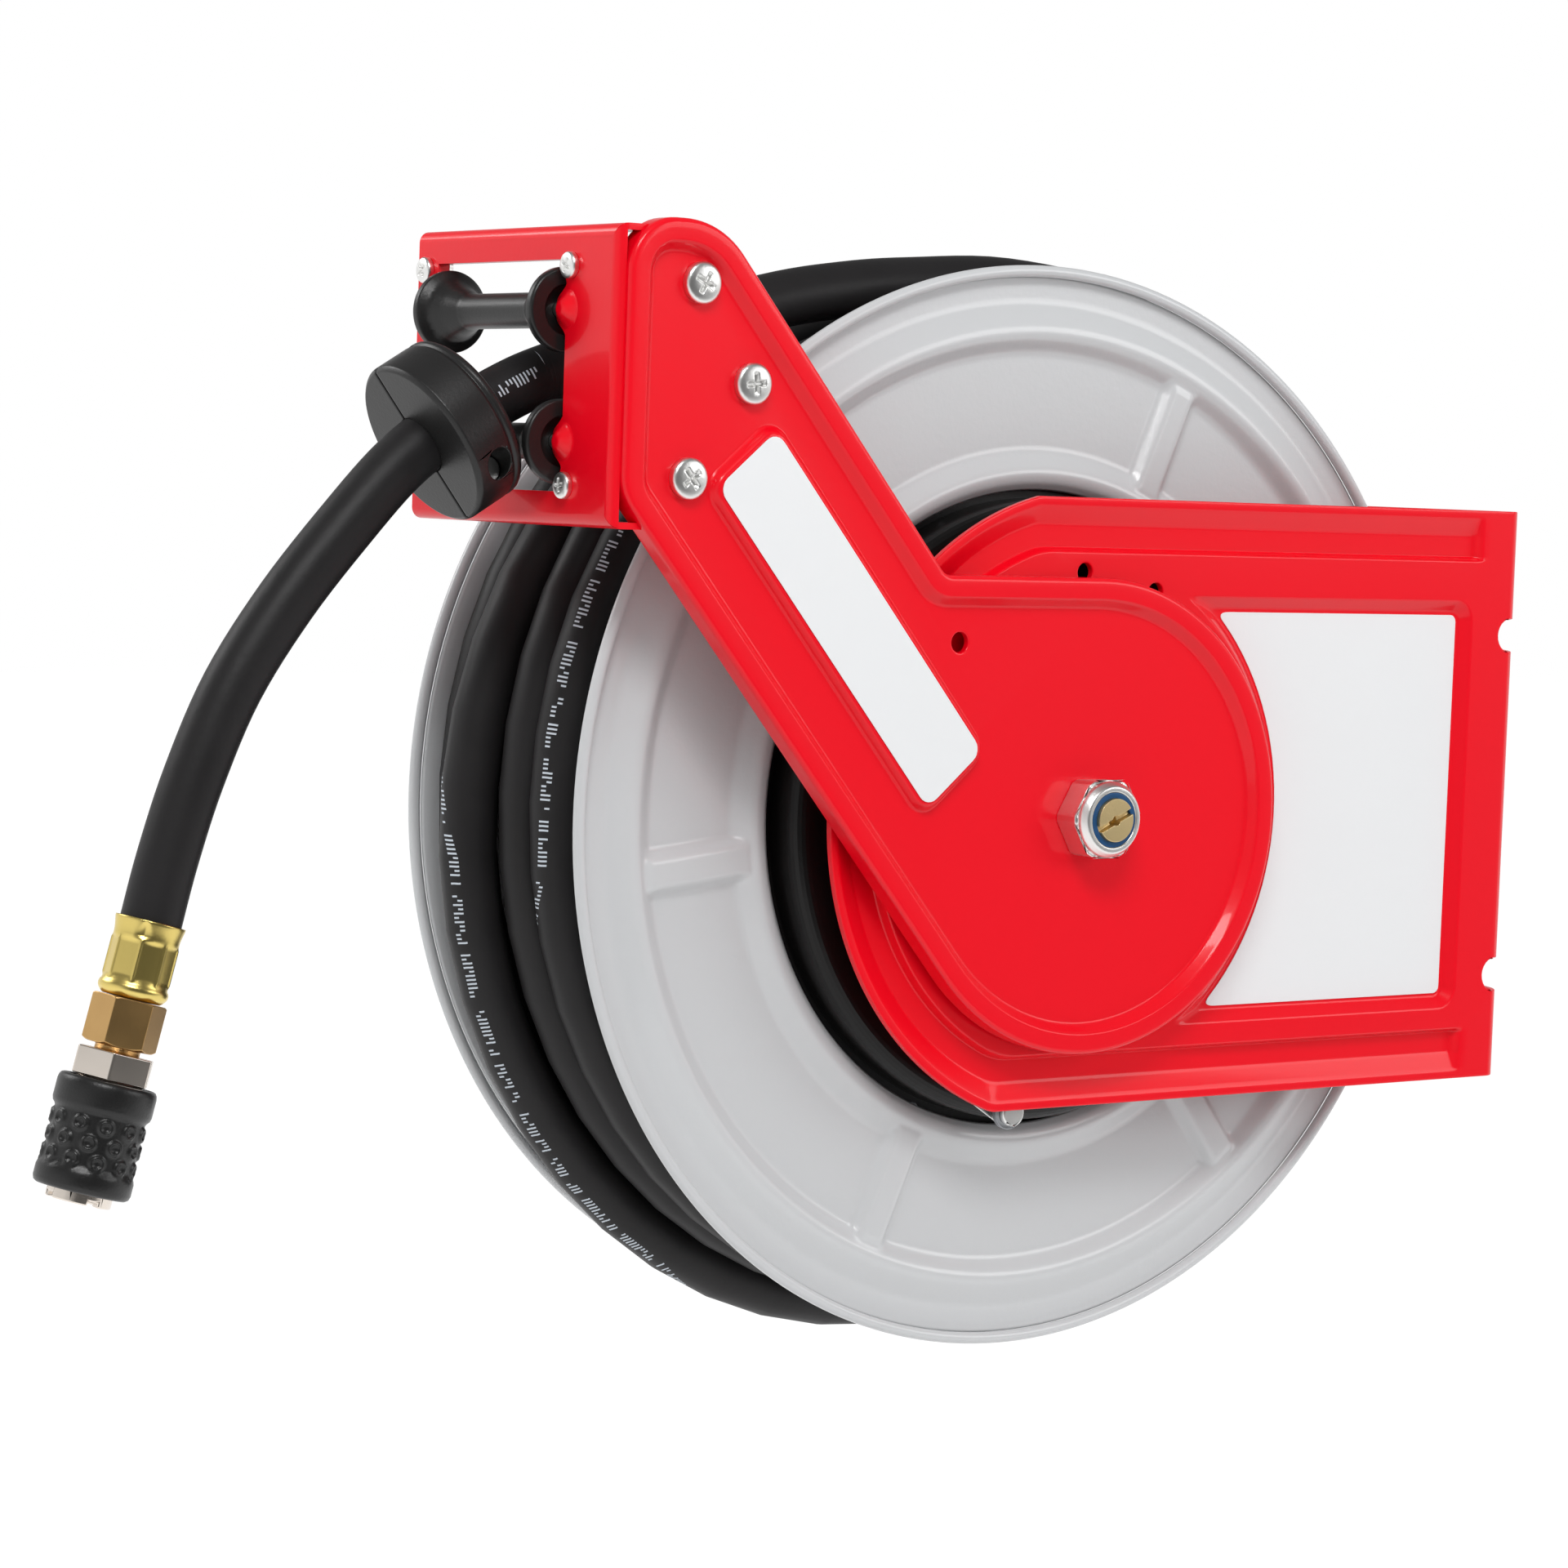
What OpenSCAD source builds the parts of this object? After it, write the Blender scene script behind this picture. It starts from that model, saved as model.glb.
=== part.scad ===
// Wall-mounted spring-retractable hose reel with a swinging guide arm.
//
// Frame: +X points into the wall, +Y runs along the reel's axle away from
// the bracket plate, +Z is up. The origin is the middle of the foot's outer
// face, between its four fixings.

/* [Base bracket] */
// Depth of the foot along the axle
foot_depth = 110; // [100:1:130]
// Distance from the wall to the axle
axle_to_wall = 194; // [190:1:215]
// Height of the bracket plate above the axle
plate_up = 101.3; // [98:0.1:103]
// Height of the bracket plate below the axle
plate_down = 94.2; // [93.5:0.1:98]
// Radius of the plate's round end
plate_end_r = 102.3; // [101.5:0.1:104]
// Thickness of the bracket sheet
plate_t = 2.5; // [2:0.1:2.8]
// Depth of the pressed rim groove and of the label recess
plate_press = 3.3; // [2:0.1:3.5]
// Inset of the rim groove's outer side from the plate's edge
groove_in = 6; // [4:0.5:8]
// Width of the rim groove
groove_w = 11; // [6:0.5:12]
// Outer radius of the bend between plate and foot
bend_r = 5; // [4:0.5:8]
// Width of the fixing slots and holes in the foot
fixing_d = 9; // [7:0.5:11]
// Vertical distance between the fixings
fixing_pitch = 117.4; // [100:0.2:130]
// How far the front slots bite into the plate past the bend
slot_bite = 8; // [6.5:0.5:12]
// Distance from the foot's ends to the centres of the fixings
fixing_inset = 14; // [12:1:20]
// Right side of the label recess, from the axle
label_right = 170; // [150:0.5:172]
// Height of the label recess
label_h = 136; // [100:1:140]
// Radius of the label recess's hollow left side about the axle
label_arc_r = 87; // [82:0.5:92]

/* [Axle] */
// Radius of the axle's threaded front end
axle_front_r = 8; // [7.5:0.1:8.5]
// Radius of the axle behind its collar
axle_r = 10; // [9.5:0.1:10.5]
// Radius of the collar that bears on the bracket plate
collar_r = 12; // [11.5:0.1:14]
// Width across the two flats where the axle passes the plate
axle_flat_w = 13.5; // [12:0.1:14.5]
// Length of axle behind the rear disc's rim
axle_tail = 20; // [16:1:30]
// Radius of the air bore
air_bore_r = 4; // [3:0.1:4.5]
// Radius of the inlet thread
inlet_r = 5.72; // [5.5:0.01:6.2]
// Depth of the inlet thread
inlet_depth = 12; // [10:0.5:15]
// Radial play of a running fit
run_fit = 0.06; // [0.03:0.01:0.09]

/* [Drum] */
// Outer radius of the discs
disc_r = 175; // [165:1:180]
// Distance between the rims of the two discs
drum_w = 101; // [96:1:110]
// Distance from the plate's front face to the front disc's rim
rim_gap = 22; // [21:0.5:26]
// Sheet thickness of the discs
disc_t = 1.5; // [1:0.1:2]
// Depth of the flat ring below the disc's rim
disc_dish = 4.2; // [3:0.1:5]
// Radius of the hole in the front disc
disc_hole_r = 103; // [102:0.5:105]
// Width of the six pressed ribs
rib_w = 13; // [9:0.5:18]
// Outer radius of the barrel that carries the hose
barrel_r = 110; // [108.5:0.5:112]
// Radius of the spring housing
spring_house_r = 100.5; // [98:0.5:101.5]
// How far the spring cover stands in front of the disc's rim
cover_proud = 9; // [8:0.5:10]
// Depth of the spring housing behind its front face
spring_house_depth = 54; // [50:1:60]
// Width of the mainspring's strip
mainspring_w = 44; // [36:1:44]
// Thickness of the mainspring's strip
mainspring_t = 0.9; // [0.6:0.1:1.2]
// Turns of the mainspring
mainspring_turns = 9; // [6:1:12]
// Outer radius of the spring arbor
arbor_r = 16; // [15:0.5:20]

/* [Ratchet] */
// Radius over the teeth of the ratchet wheel
ratchet_r = 62; // [58:0.5:66]
// Number of teeth
ratchet_teeth = 12; // [12:12:24]
// Depth of the teeth
tooth_depth = 5; // [3:0.5:7]
// Thickness of the ratchet wheel
ratchet_t = 3; // [2.5:0.1:3]
// Radius of the circle that the pawl's pivot runs on
pawl_pivot_r = 97.5; // [95:0.5:98]
// Direction of the pawl's pivot, seen from the front
pawl_dir = 261; // [0:1:359]

/* [Guide arm] */
// Radius of the arm's hub
arm_hub_r = 76; // [72:0.5:78]
// Lean of the arm, from the axle's level
arm_lean = 130.5; // [125:0.5:135]
// Width of the arm at its top
arm_top_w = 32.1; // [28:0.1:34]
// Level of the arm's top
arm_top = 179; // [178:1:186]
// Distance of the arm's upright side from the axle
arm_side = 183; // [181:1:188]
// Sheet thickness of the arm
arm_t = 2.5; // [2:0.1:3]
// Depth of the arm's pressed face below its rim
arm_press = 3.5; // [2:0.1:4]
// Width of the arm's rim
arm_rim_w = 9; // [7:0.5:12]
// Depth of the arm's folded edge
arm_edge = 8; // [6.5:0.1:8.5]
// Gap between arm and plate, filled by the spacer
arm_gap = 4; // [3.5:0.1:5]
// Width of the raised label pad
pad_w = 30; // [26:0.5:34]
// Length of the raised label pad
pad_len = 130; // [110:1:134]
// Height of the raised label pad
pad_h = 3; // [1:0.1:3.3]

/* [Hose guide] */
// Height of the guide bracket
guide_h = 89; // [86:1:94]
// Level of the guide's middle above the axle
guide_z = 132; // [131:0.2:133]
// Sheet thickness of the guide bracket and its clamp plate
guide_t = 2; // [1.5:0.1:2.5]
// Depth of the guide bracket's folded edges
guide_fold = 12; // [8:1:18]
// Distance along the axle from the front disc's rim to the guide's far edge
guide_far = 84; // [83:1:92]
// Height of the guide's window
window_h = 68.5; // [60:0.5:71]
// Length of the guide's window
window_l = 74; // [72:0.5:76]
// Length of the rollers
roller_len = 69; // [64:0.5:69]
// Distance between the two roller axes
roller_pitch = 39; // [38.6:0.2:41]
// Radius of the roller flanges
roller_flange_r = 12.7; // [11:0.1:13]
// Radius of the rollers' middle
roller_core_r = 5.4; // [4.5:0.1:5.6]
// Radius of the roller pins
roller_pin_r = 2.5; // [2:0.1:3]

/* [Hose] */
// Distance along the axle from the front disc's rim to the free hose
hose_at = 25; // [24:1:27]
// Outer diameter of the hose
hose_d = 18; // [18:1:18]
// Bore of the hose
hose_bore = 10; // [10:0.5:10]
// Radius of the stopper
stopper_r = 26.2; // [25:0.1:28]
// Thickness of the stopper
stopper_w = 17.6; // [16:0.2:18]
// Gap between the stopper's halves
stopper_split = 0.6; // [0.4:0.1:1.2]
// Distance of the stopper's screws from the hose
stopper_screw_off = 16; // [15:0.5:17]

/* [Quick coupling] */
// Length of the crimped ferrule
ferrule_len = 23; // [18:0.5:28]
// Length of the brass nut
union_len = 14.2; // [12:0.1:20]
// Width across the flats of the brass nut
union_af = 19; // [17:0.5:20]
// Length of the coupling's hexagon
coupling_hex_len = 8.1; // [6:0.1:10]
// Width across the flats of the coupling's hexagon
coupling_af = 21.5; // [19:0.5:22]
// Outer radius of the sleeve
sleeve_r = 14.5; // [13.5:0.1:16]
// Length of the sleeve
sleeve_len = 32.5; // [30:0.5:36]
// Radius of the coupling's socket
socket_r = 6.1; // [5.5:0.05:6.5]
// How far the socket stands out of the sleeve
socket_proud = 3.1; // [2:0.1:6]

/* [Hidden] */
$fn = 96;
eps = 0.01;

// Levels along the axle, row Y.
y_plate = -foot_depth / 2;
y_plate_back = y_plate + plate_t;
y_arm_back = y_plate - arm_gap;
y_arm_face = y_arm_back - arm_t;
y_arm_rim = y_arm_face - arm_press;
y_rim = y_plate + rim_gap;
y_rear_rim = y_rim + drum_w;
y_cover = y_rim - cover_proud;
cover_t = 1.5;
y_joint = y_rim + disc_dish + disc_t;
y_rear_web = y_rear_rim - disc_dish - disc_t;
y_case_back = y_cover + spring_house_depth;
y_mid = y_rim + hose_at;

// Middle of the plate's round end, from the axle.
plate_end_at = [5.5, 2];

// Ratchet and front bush.
bush_flange_t = 1.2;
side_gap = 0.3;
y_wheel_back = y_cover - bush_flange_t - side_gap;
y_wheel = y_wheel_back - ratchet_t;
wheel_flat_w = 2 * axle_r - 3;
bush_wall = 3;
bush_len = 6;
bush_flange_w = 6;
pawl_t = 2;
pawl_wide = 4;
pawl_bite = 3;
pawl_swing = 24;
pawl_play = 0.1;
pawl_hub_r = 5.5;
pawl_pin_r = 2.5;
pawl_head_r = 4.3;
pawl_head_h = 2.2;
wire_r = 0.45;

// Swivel at the rear of the axle.
swivel_r = 20;
swivel_front = y_case_back + 13;
gallery_r = 13;
gallery_w = 6;
swivel_flange_r = 32;
swivel_flange_t = 6;
y_gallery = (swivel_front + y_rear_web) / 2 - 5;
seal_r = 1.4;
seal_off = 9;
rear_bush_len = 9;
ring_t = 1.5;
ring_play = 0.1;
ring_groove = 0.8;
washer_t = 1.2;
y_rear_bush_end = y_rear_web + disc_t + bush_flange_t;
y_washer = y_rear_bush_end + ring_play;
y_ring = y_washer + washer_t + ring_play;
y_axle_end = y_rear_rim + axle_tail;
swivel_bolt_r = 26;

// Axle's front end and its lock nut.
nut_af = 24;
nut_corner_r = 13.25;
nut_h = 9.5;
nut_collar_r = 12.15;
nut_collar_h = 3.4;
nylon_r = 8.75;
nylon_h = 2.4;
y_nut = y_arm_face - nut_h;
y_nut_end = y_nut - nut_collar_h;
axle_nose = 1.2;
axle_nose_r = 6.9;
slot_w = 2;
slot_h = 2.2;
slot_turn = -25;
spacer_r = 20;

// Fasteners.
m6_r = 3;
m6_head_r = 6.2;
m6_head_h = 3.6;
m6_nut_af = 10;
m6_nut_h = 5;
m4_r = 2;
m4_head_r = 4;
m4_head_h = 2.6;
m4_nut_af = 7;
m4_nut_h = 3.2;
hole_play = 0.25;
rivet_r = 2.4;
rivet_head_r = 3.8;
rivet_head_h = 1.2;
rivet_count = 8;

// Spring housing.
flange_w = 7.9;
house_wall = 1.5;
rivet_circle_r = spring_house_r + flange_w / 2;
arbor_gap = 1;
arbor_front = y_cover + bush_len + arbor_gap;
arbor_back = y_case_back - house_wall - arbor_gap;
arbor_pin_r = 2.5;
y_spring = (y_cover + cover_t + y_case_back - house_wall) / 2 - mainspring_w / 2;
y_arbor_pin = (arbor_front + arbor_back) / 2;

// Hose on the drum: full layers below, and the outermost turns side by side,
// numbered from the front. The lead lies above the first two, one is loose.
winding_side = 1.8;
winding_seat = 0.3;
turn_squeeze = 0.5;
turn_side = 0.3;
turn_pitch = 17.1;
turn_count = 5;
turn_r = hose_d / 2 - turn_squeeze;
outer_turn_r = 161;
loose_turn = 3;
loose_turn_r = 163;
loose_turn_off = 11;
loose_turn_dir = 245;
lead_r = 169;
lead_play = 0.8;
barrel_flange = 9;

// Inner end of the hose, from the swivel to the barrel.
spigot_r = 6;
inner_start = 40;
inner_straight = 16;
inner_bend = 45;
inner_turn = 45;
inner_ferrule_len = 18;
inner_ferrule_wall = 1;
passage_l = 66;
passage_w = hose_d + 4;

// Index holes of the bracket plate and the arm.
index_r = 77.5;
index_hole_r = 3.25;
index_step = 22.5;
index_first = 90;
index_count = 3;
arm_index_turn = 134.6;

// Guide bracket: places from the axle.
guide_face = arm_side + 3;
guide_axis = guide_face - guide_t;
y_guide_near = y_arm_rim + 2.5;
y_guide_far = y_rim + guide_far;
y_window = y_rim - 2;
y_guide_mid = y_window + window_l / 2;
y_roller = y_guide_mid - roller_len / 2;
dome_r = 5;
dome_y = [y_window - 0.5, y_window + window_l + 0.5];
dome_margin = 1;
roller_recess_r = 7.5;
roller_recess = 4;
roller_flare = 9;
roller_rim = 3;
tab_reach = 61;
bolt_drop = [18.5, 47.3];
bolt_inset = [26.5, 20.2, 23.9];
bolt_over_foot = 5.7;
bolt_over_guide = 15.4;
guide_bolt_y = [y_window - 2.7, y_window + window_l + 6.5];
guide_bolt_off = 32.4;
guide_bolt_z = [guide_z + guide_bolt_off, guide_z - guide_bolt_off];
guide_bolts = [for (y = guide_bolt_y) for (z = guide_bolt_z) [y, z]];

// Arm label.
pad_gap = 14;
pad_shift = 2.3;
pad_corner = 6;
label_t = 0.4;
label_margin = 1.5;
base_label_margin = 2.5;

// Hose route from the drum to the ferrule, as [x, z] from the axle, in the
// plane y_mid: round the drum, through the rollers and the stopper, and down.
ROUTE = [
    [84.5, 146.4], [43.7, 163.2], [0, 169], [-39, 167], [-66, 164], [-95, 158.5],
    [-140, 145.5], [-170, 134.8], [-188, 127.6], [-211, 114.8], [-226, 103.8], [-242, 87],
    [-262, 63.4], [-279, 38.3], [-290.7, 12.3], [-298.5, -11], [-303.4, -29.5]
];
END_DIR = [-0.256, -0.967];
route_len = len(ROUTE);
steps_per_point = 3;
hose_sides = 12;
stopper_at = [-210.8, 114.5];
stopper_dir = [-0.853, -0.522];
stopper_roll = 14;
hose_in_ferrule = 3;
ferrule_wall = 0.5;
ferrule_collar = 1.2;
neck_r = 6.5;
neck_len = 1.6;
coupling_at = ferrule_len + union_len + neck_len;
coupling_body_r = 9.6;
sleeve_at = coupling_at + coupling_hex_len + 0.4;
socket_end = sleeve_at + sleeve_len + socket_proud;
sleeve_bore = coupling_body_r + run_fit;
ball_r = 1.75;
ball_at = socket_end - 7;
ball_count = 6;
spring_room_r = coupling_af / cos(30) / 2 + 0.35;
spring_room = 13;
valve_r = 4.6;
valve_at = coupling_at + 12;
valve_len = 9;

// Places children drawn flat, x to the wall and y up, with their thickness
// running from level y towards the viewer in front of the reel.
module facing(y) {
    translate([-axle_to_wall, y, 0])
        rotate([90, 0, 0])
            children();
}

// Spins a profile of [radius, level along the axle] about the axle.
module turned() {
    translate([-axle_to_wall, 0, 0])
        rotate([-90, 0, 0])
            rotate_extrude()
                children();
}

// A round bar along the axle's direction, at [x, z] from the axle.
module bar(at, r, y0, y1) {
    translate([-axle_to_wall + at[0], y0, at[1]])
        rotate([-90, 0, 0])
            cylinder(r = r, h = y1 - y0);
}

// A round bar along X at [y, z] between two places x0 < x1 from the axle.
module cross_bar(at, r, x0, x1) {
    translate([-axle_to_wall + x0, at[0], at[1]])
        rotate([0, 90, 0])
            cylinder(r = r, h = x1 - x0);
}

module ring(r_in, r_out, y0, y1) {
    turned()
        polygon([[r_in, y0], [r_out, y0], [r_out, y1], [r_in, y1]]);
}

module hexagon(af, h) {
    cylinder(d = af / cos(30), h = h, $fn = 6);
}

// Where two lines meet, each given by its outward normal's angle and offset.
function meet(a, ca, b, cb) =
    [(ca * sin(b) - cb * sin(a)) / sin(b - a), (cb * cos(a) - ca * cos(b)) / sin(b - a)];

// An arc about a centre, from one angle to another.
function arc(c, r, a0, a1, n = 6) =
    [for (i = [0:n]) let (a = a0 + (a1 - a0) * i / n) c + r * [cos(a), sin(a)]];

// A rounded outer corner between lines a and b, and a rounded inner one.
function outer_corner(a, ca, b, cb, r) = arc(meet(a, ca - r, b, cb - r), r, a, b);
function inner_corner(a, ca, b, cb, r) = arc(meet(a, ca + r, b, cb + r), r, a + 180, b + 180);

// The arm's outline, drawn in by d: hub, inner corner, top and foot corners.
lower_side = arm_lean + 90;
upper_side = arm_lean - 90;
arm_upper_off = cos(upper_side) * (arm_top_w - arm_side) + sin(upper_side) * arm_top;
arm_top_left_r = 0.5 * arm_top_w;
arm_top_right_r = 0.87 * arm_top_w;
arm_foot_r = 16;
function arm_outline(d) =
    concat(
        arc([0, 0], arm_hub_r - d, lower_side, 450, 40),
        inner_corner(90, arm_hub_r - d, upper_side, arm_upper_off - d, 5 + d),
        outer_corner(upper_side, arm_upper_off - d, 90, arm_top - d, arm_top_right_r - d),
        outer_corner(90, arm_top - d, 180, arm_side - d, arm_top_left_r - d),
        outer_corner(180, arm_side - d, lower_side, arm_hub_r - d, arm_foot_r - d)
    );

// Straight stretch of the arm's upright side, where the guide's tab passes it.
arm_foot = meet(180, arm_side, lower_side, arm_hub_r);
arm_straight_z0 = arm_foot[1] + arm_foot_r * tan((lower_side - 180) / 2);
arm_straight_z1 = arm_top - arm_top_left_r;

// Screws of the guide bracket: two beside the upright side, one beside the slant.
bracket_bolts = [
    [bolt_inset[0] - arm_side, arm_top - bolt_drop[0]],
    meet(upper_side, arm_upper_off - bolt_inset[1], 90, arm_top - bolt_drop[1]),
    [bolt_inset[2] - arm_side, max(arm_foot[1] + bolt_over_foot, guide_z - guide_h / 2 + bolt_over_guide)]
];

// Middle of the label pad: along the arm below its second screw, near its middle.
pad_along = bracket_bolts[1] * [cos(arm_lean), sin(arm_lean)] - pad_gap - pad_len / 2;
pad_across = (arm_upper_off - arm_hub_r) / 2 + pad_shift;
pad_at = pad_along * [cos(arm_lean), sin(arm_lean)] + pad_across * [cos(upper_side), sin(upper_side)];

// A point path swept as a closed tube; frames keep one side along `up`.
function unit(v) = v / norm(v);
function tangent(p, i) =
    unit(p[min(i + 1, len(p) - 1)] - p[max(i - 1, 0)]);
function tube_ring(c, t, up, r, n) =
    let (u = unit(cross(t, up)), v = cross(u, t))
    [for (k = [0:n - 1]) c + r * (u * cos(360 * k / n) + v * sin(360 * k / n))];
module tube_along(p, r, n, up) {
    m = len(p);
    points = [for (i = [0:m - 1]) each tube_ring(p[i], tangent(p, i), up, r, n)];
    sides = [for (i = [0:m - 2]) for (k = [0:n - 1])
        [i * n + k, i * n + (k + 1) % n, (i + 1) * n + (k + 1) % n, (i + 1) * n + k]];
    first_cap = [for (k = [0:n - 1]) n - 1 - k];
    last_cap = [for (k = [0:n - 1]) (m - 1) * n + k];
    polyhedron(points = points, faces = concat([first_cap], sides, [last_cap]));
}

// A smooth curve through the points of a route.
function curve_point(a, b, c, d, t) =
    0.5 * (2 * b + (c - a) * t + (2 * a - 5 * b + 4 * c - d) * t * t
        + (3 * b - 3 * c + d - a) * t * t * t);
function smooth_route(p, steps) =
    let (m = len(p))
    concat(
        [for (i = [0:m - 2]) for (s = [0:steps - 1])
            curve_point(p[max(i - 1, 0)], p[i], p[i + 1], p[min(i + 2, m - 1)], s / steps)],
        [p[m - 1]]
    );

// A helix about local z.
function helix(r, pitch, turns, per_turn) =
    [for (i = [0:turns * per_turn])
        let (a = 360 * i / per_turn) [r * cos(a), r * sin(a), pitch * i / per_turn]];

// Places children with local z along the hose's end, s from the ferrule's top.
end_turn = atan2(END_DIR[0], END_DIR[1]);
module on_end(s) {
    translate([-axle_to_wall + ROUTE[route_len - 1][0], y_mid, ROUTE[route_len - 1][1]])
        rotate([0, end_turn, 0])
            translate([0, 0, s])
                children();
}

// Places children with local z along the hose through the stopper.
stopper_turn = atan2(stopper_dir[0], stopper_dir[1]);
module on_stopper() {
    translate([-axle_to_wall + stopper_at[0], y_mid, stopper_at[1]])
        rotate([0, stopper_turn, 0])
            rotate([0, 0, stopper_roll])
                children();
}

// ---------------------------------------------------------------- bracket

module plate_outline(d) {
    intersection() {
        union() {
            translate(plate_end_at)
                circle(r = plate_end_r - d);
            translate([plate_end_at[0], -plate_down + d])
                square([axle_to_wall - plate_end_at[0] - d, plate_up + plate_down - 2 * d]);
        }
        translate([-plate_end_r, -plate_down + d])
            square([plate_end_r + axle_to_wall - d, plate_up + plate_down - 2 * d]);
    }
}

groove_right = axle_to_wall - 19;
module groove_shape(grow) {
    difference() {
        plate_outline(groove_in - grow);
        plate_outline(groove_in + groove_w + grow);
        translate([groove_right + grow, -2 * plate_end_r])
            square([axle_to_wall, 4 * plate_end_r]);
    }
}

module label_shape(grow) {
    difference() {
        translate([0, -label_h / 2 - grow])
            square([label_right + grow, label_h + 2 * grow]);
        circle(r = label_arc_r - grow);
    }
}

// The foot and its bend, as one profile along Z.
module foot_profile() {
    translate([-plate_t, y_plate + bend_r])
        square([plate_t, foot_depth - bend_r]);
    translate([-bend_r, y_plate + bend_r])
        difference() {
            circle(r = bend_r);
            circle(r = bend_r - plate_t);
            translate([-2 * bend_r, -2 * bend_r])
                square([2 * bend_r, 4 * bend_r]);
            translate([-2 * bend_r, 0])
                square([4 * bend_r, 2 * bend_r]);
        }
}

module base_bracket() {
    fixing_r = fixing_d / 2;
    fixing_z = [-fixing_pitch / 2, fixing_pitch / 2];
    color("crimson")
        difference() {
            union() {
                facing(y_plate_back)
                    linear_extrude(plate_t)
                        intersection() {
                            plate_outline(0);
                            translate([-plate_end_r, -2 * plate_end_r])
                                square([plate_end_r + axle_to_wall - bend_r, 4 * plate_end_r]);
                        }
                facing(y_plate_back + plate_press)
                    linear_extrude(plate_press + plate_t) {
                        groove_shape(plate_t);
                        label_shape(plate_t);
                    }
                translate([0, 0, -plate_down])
                    linear_extrude(plate_up + plate_down)
                        foot_profile();
            }
            facing(y_plate + plate_press)
                linear_extrude(plate_press + eps) {
                    groove_shape(0);
                    label_shape(0);
                }
            // Hole for the axle, with its two flats.
            facing(y_plate_back + eps)
                intersection() {
                    cylinder(r = axle_front_r + run_fit, h = plate_t + 2 * eps);
                    translate([-axle_front_r - 1, -axle_flat_w / 2 - run_fit, 0])
                        cube([2 * axle_front_r + 2, axle_flat_w + 2 * run_fit, 2 * plate_t]);
                }
            for (i = [0:index_count - 1])
                let (a = index_first - i * index_step)
                bar(index_r * [cos(a), sin(a)], index_hole_r, y_plate - 1, y_plate_back + 1);
            for (z = fixing_z) {
                // Open front slot: it runs from the plate round the bend.
                translate([-slot_bite + fixing_r, y_plate - 1, z])
                    rotate([-90, 0, 0])
                        cylinder(r = fixing_r, h = plate_t + 2);
                translate([-slot_bite + fixing_r, y_plate - 1, z - fixing_r])
                    cube([slot_bite, fixing_inset + 1, fixing_d]);
                translate([-slot_bite, y_plate + fixing_inset, z])
                    rotate([0, 90, 0])
                        cylinder(r = fixing_r, h = 2 * slot_bite);
                // Round rear hole.
                translate([-slot_bite, -y_plate - fixing_inset, z])
                    rotate([0, 90, 0])
                        cylinder(r = fixing_r, h = 2 * slot_bite);
            }
        }
}

module base_label() {
    color("white")
        facing(y_plate + plate_press)
            linear_extrude(label_t)
                difference() {
                    translate([0, -label_h / 2 + base_label_margin])
                        square([label_right - base_label_margin, label_h - 2 * base_label_margin]);
                    circle(r = label_arc_r + base_label_margin);
                }
}

// ------------------------------------------------------------------- axle

module main_axle() {
    radial_hole_r = 2.4;
    color("darkkhaki")
        difference() {
            union() {
                bar([0, 0], axle_front_r, y_nut_end + nylon_h, y_plate_back);
                bar([0, 0], axle_nose_r, y_nut_end - axle_nose, y_nut_end + nylon_h + eps);
                bar([0, 0], collar_r, y_plate_back, y_wheel);
                bar([0, 0], axle_r, y_wheel, y_axle_end);
            }
            // Flats in the plate, and wrench flats at the inlet.
            for (side = [-1, 1]) {
                translate([-axle_to_wall - 20, y_plate, side * (axle_flat_w / 2 + 10) - 10])
                    cube([40, plate_t, 20]);
                translate([-axle_to_wall - 20, y_wheel, side * (wheel_flat_w / 2 + 10) - 10])
                    cube([40, ratchet_t, 20]);
                translate([-axle_to_wall - 20, y_axle_end - 12, side * (wheel_flat_w / 2 + 10) - 10])
                    cube([40, 8, 20]);
            }
            // Slot and centre hole of the nose.
            translate([-axle_to_wall, y_nut_end - axle_nose - eps, 0])
                rotate([0, slot_turn, 0])
                    translate([-slot_w * 5, 0, -slot_w / 2])
                        cube([slot_w * 10, slot_h, slot_w]);
            bar([0, 0], 1.6, y_nut_end - axle_nose - 1, y_nut_end + 3);
            // Air way from the inlet to the swivel's gallery.
            bar([0, 0], air_bore_r, y_gallery, y_axle_end + 1);
            bar([0, 0], inlet_r, y_axle_end - inlet_depth, y_axle_end + 1);
            cross_bar([y_gallery, 0], radial_hole_r, -2 * axle_r, 2 * axle_r);
            // Pin hole of the spring arbor and groove of the retaining ring.
            cross_bar([y_arbor_pin, 0], arbor_pin_r, -2 * axle_r, 2 * axle_r);
            ring(axle_r - ring_groove, axle_r + 1, y_ring - ring_play, y_ring + ring_t + ring_play);
        }
}

module axle_nut() {
    color("silver")
        difference() {
            union() {
                facing(y_arm_face)
                    intersection() {
                        hexagon(nut_af, nut_h);
                        cylinder(r = nut_corner_r, h = nut_h);
                    }
                turned()
                    polygon([
                        [axle_front_r, y_nut + eps], [nut_collar_r, y_nut + eps],
                        [nut_collar_r, y_nut - 1.2], [nut_collar_r - 1.6, y_nut_end],
                        [nylon_r - 1, y_nut_end], [nylon_r - 1, y_nut]
                    ]);
            }
            bar([0, 0], axle_front_r, y_nut_end + nylon_h - eps, y_arm_face + 1);
            bar([0, 0], nylon_r, y_nut_end - 1, y_nut_end + nylon_h);
        }
}

module nut_lock_ring() {
    color("royalblue")
        ring(axle_nose_r, nylon_r, y_nut_end + 0.2, y_nut_end + nylon_h);
}

module arm_spacer() {
    color("dimgray")
        ring(axle_front_r + run_fit, spacer_r, y_arm_back, y_plate);
}

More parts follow.
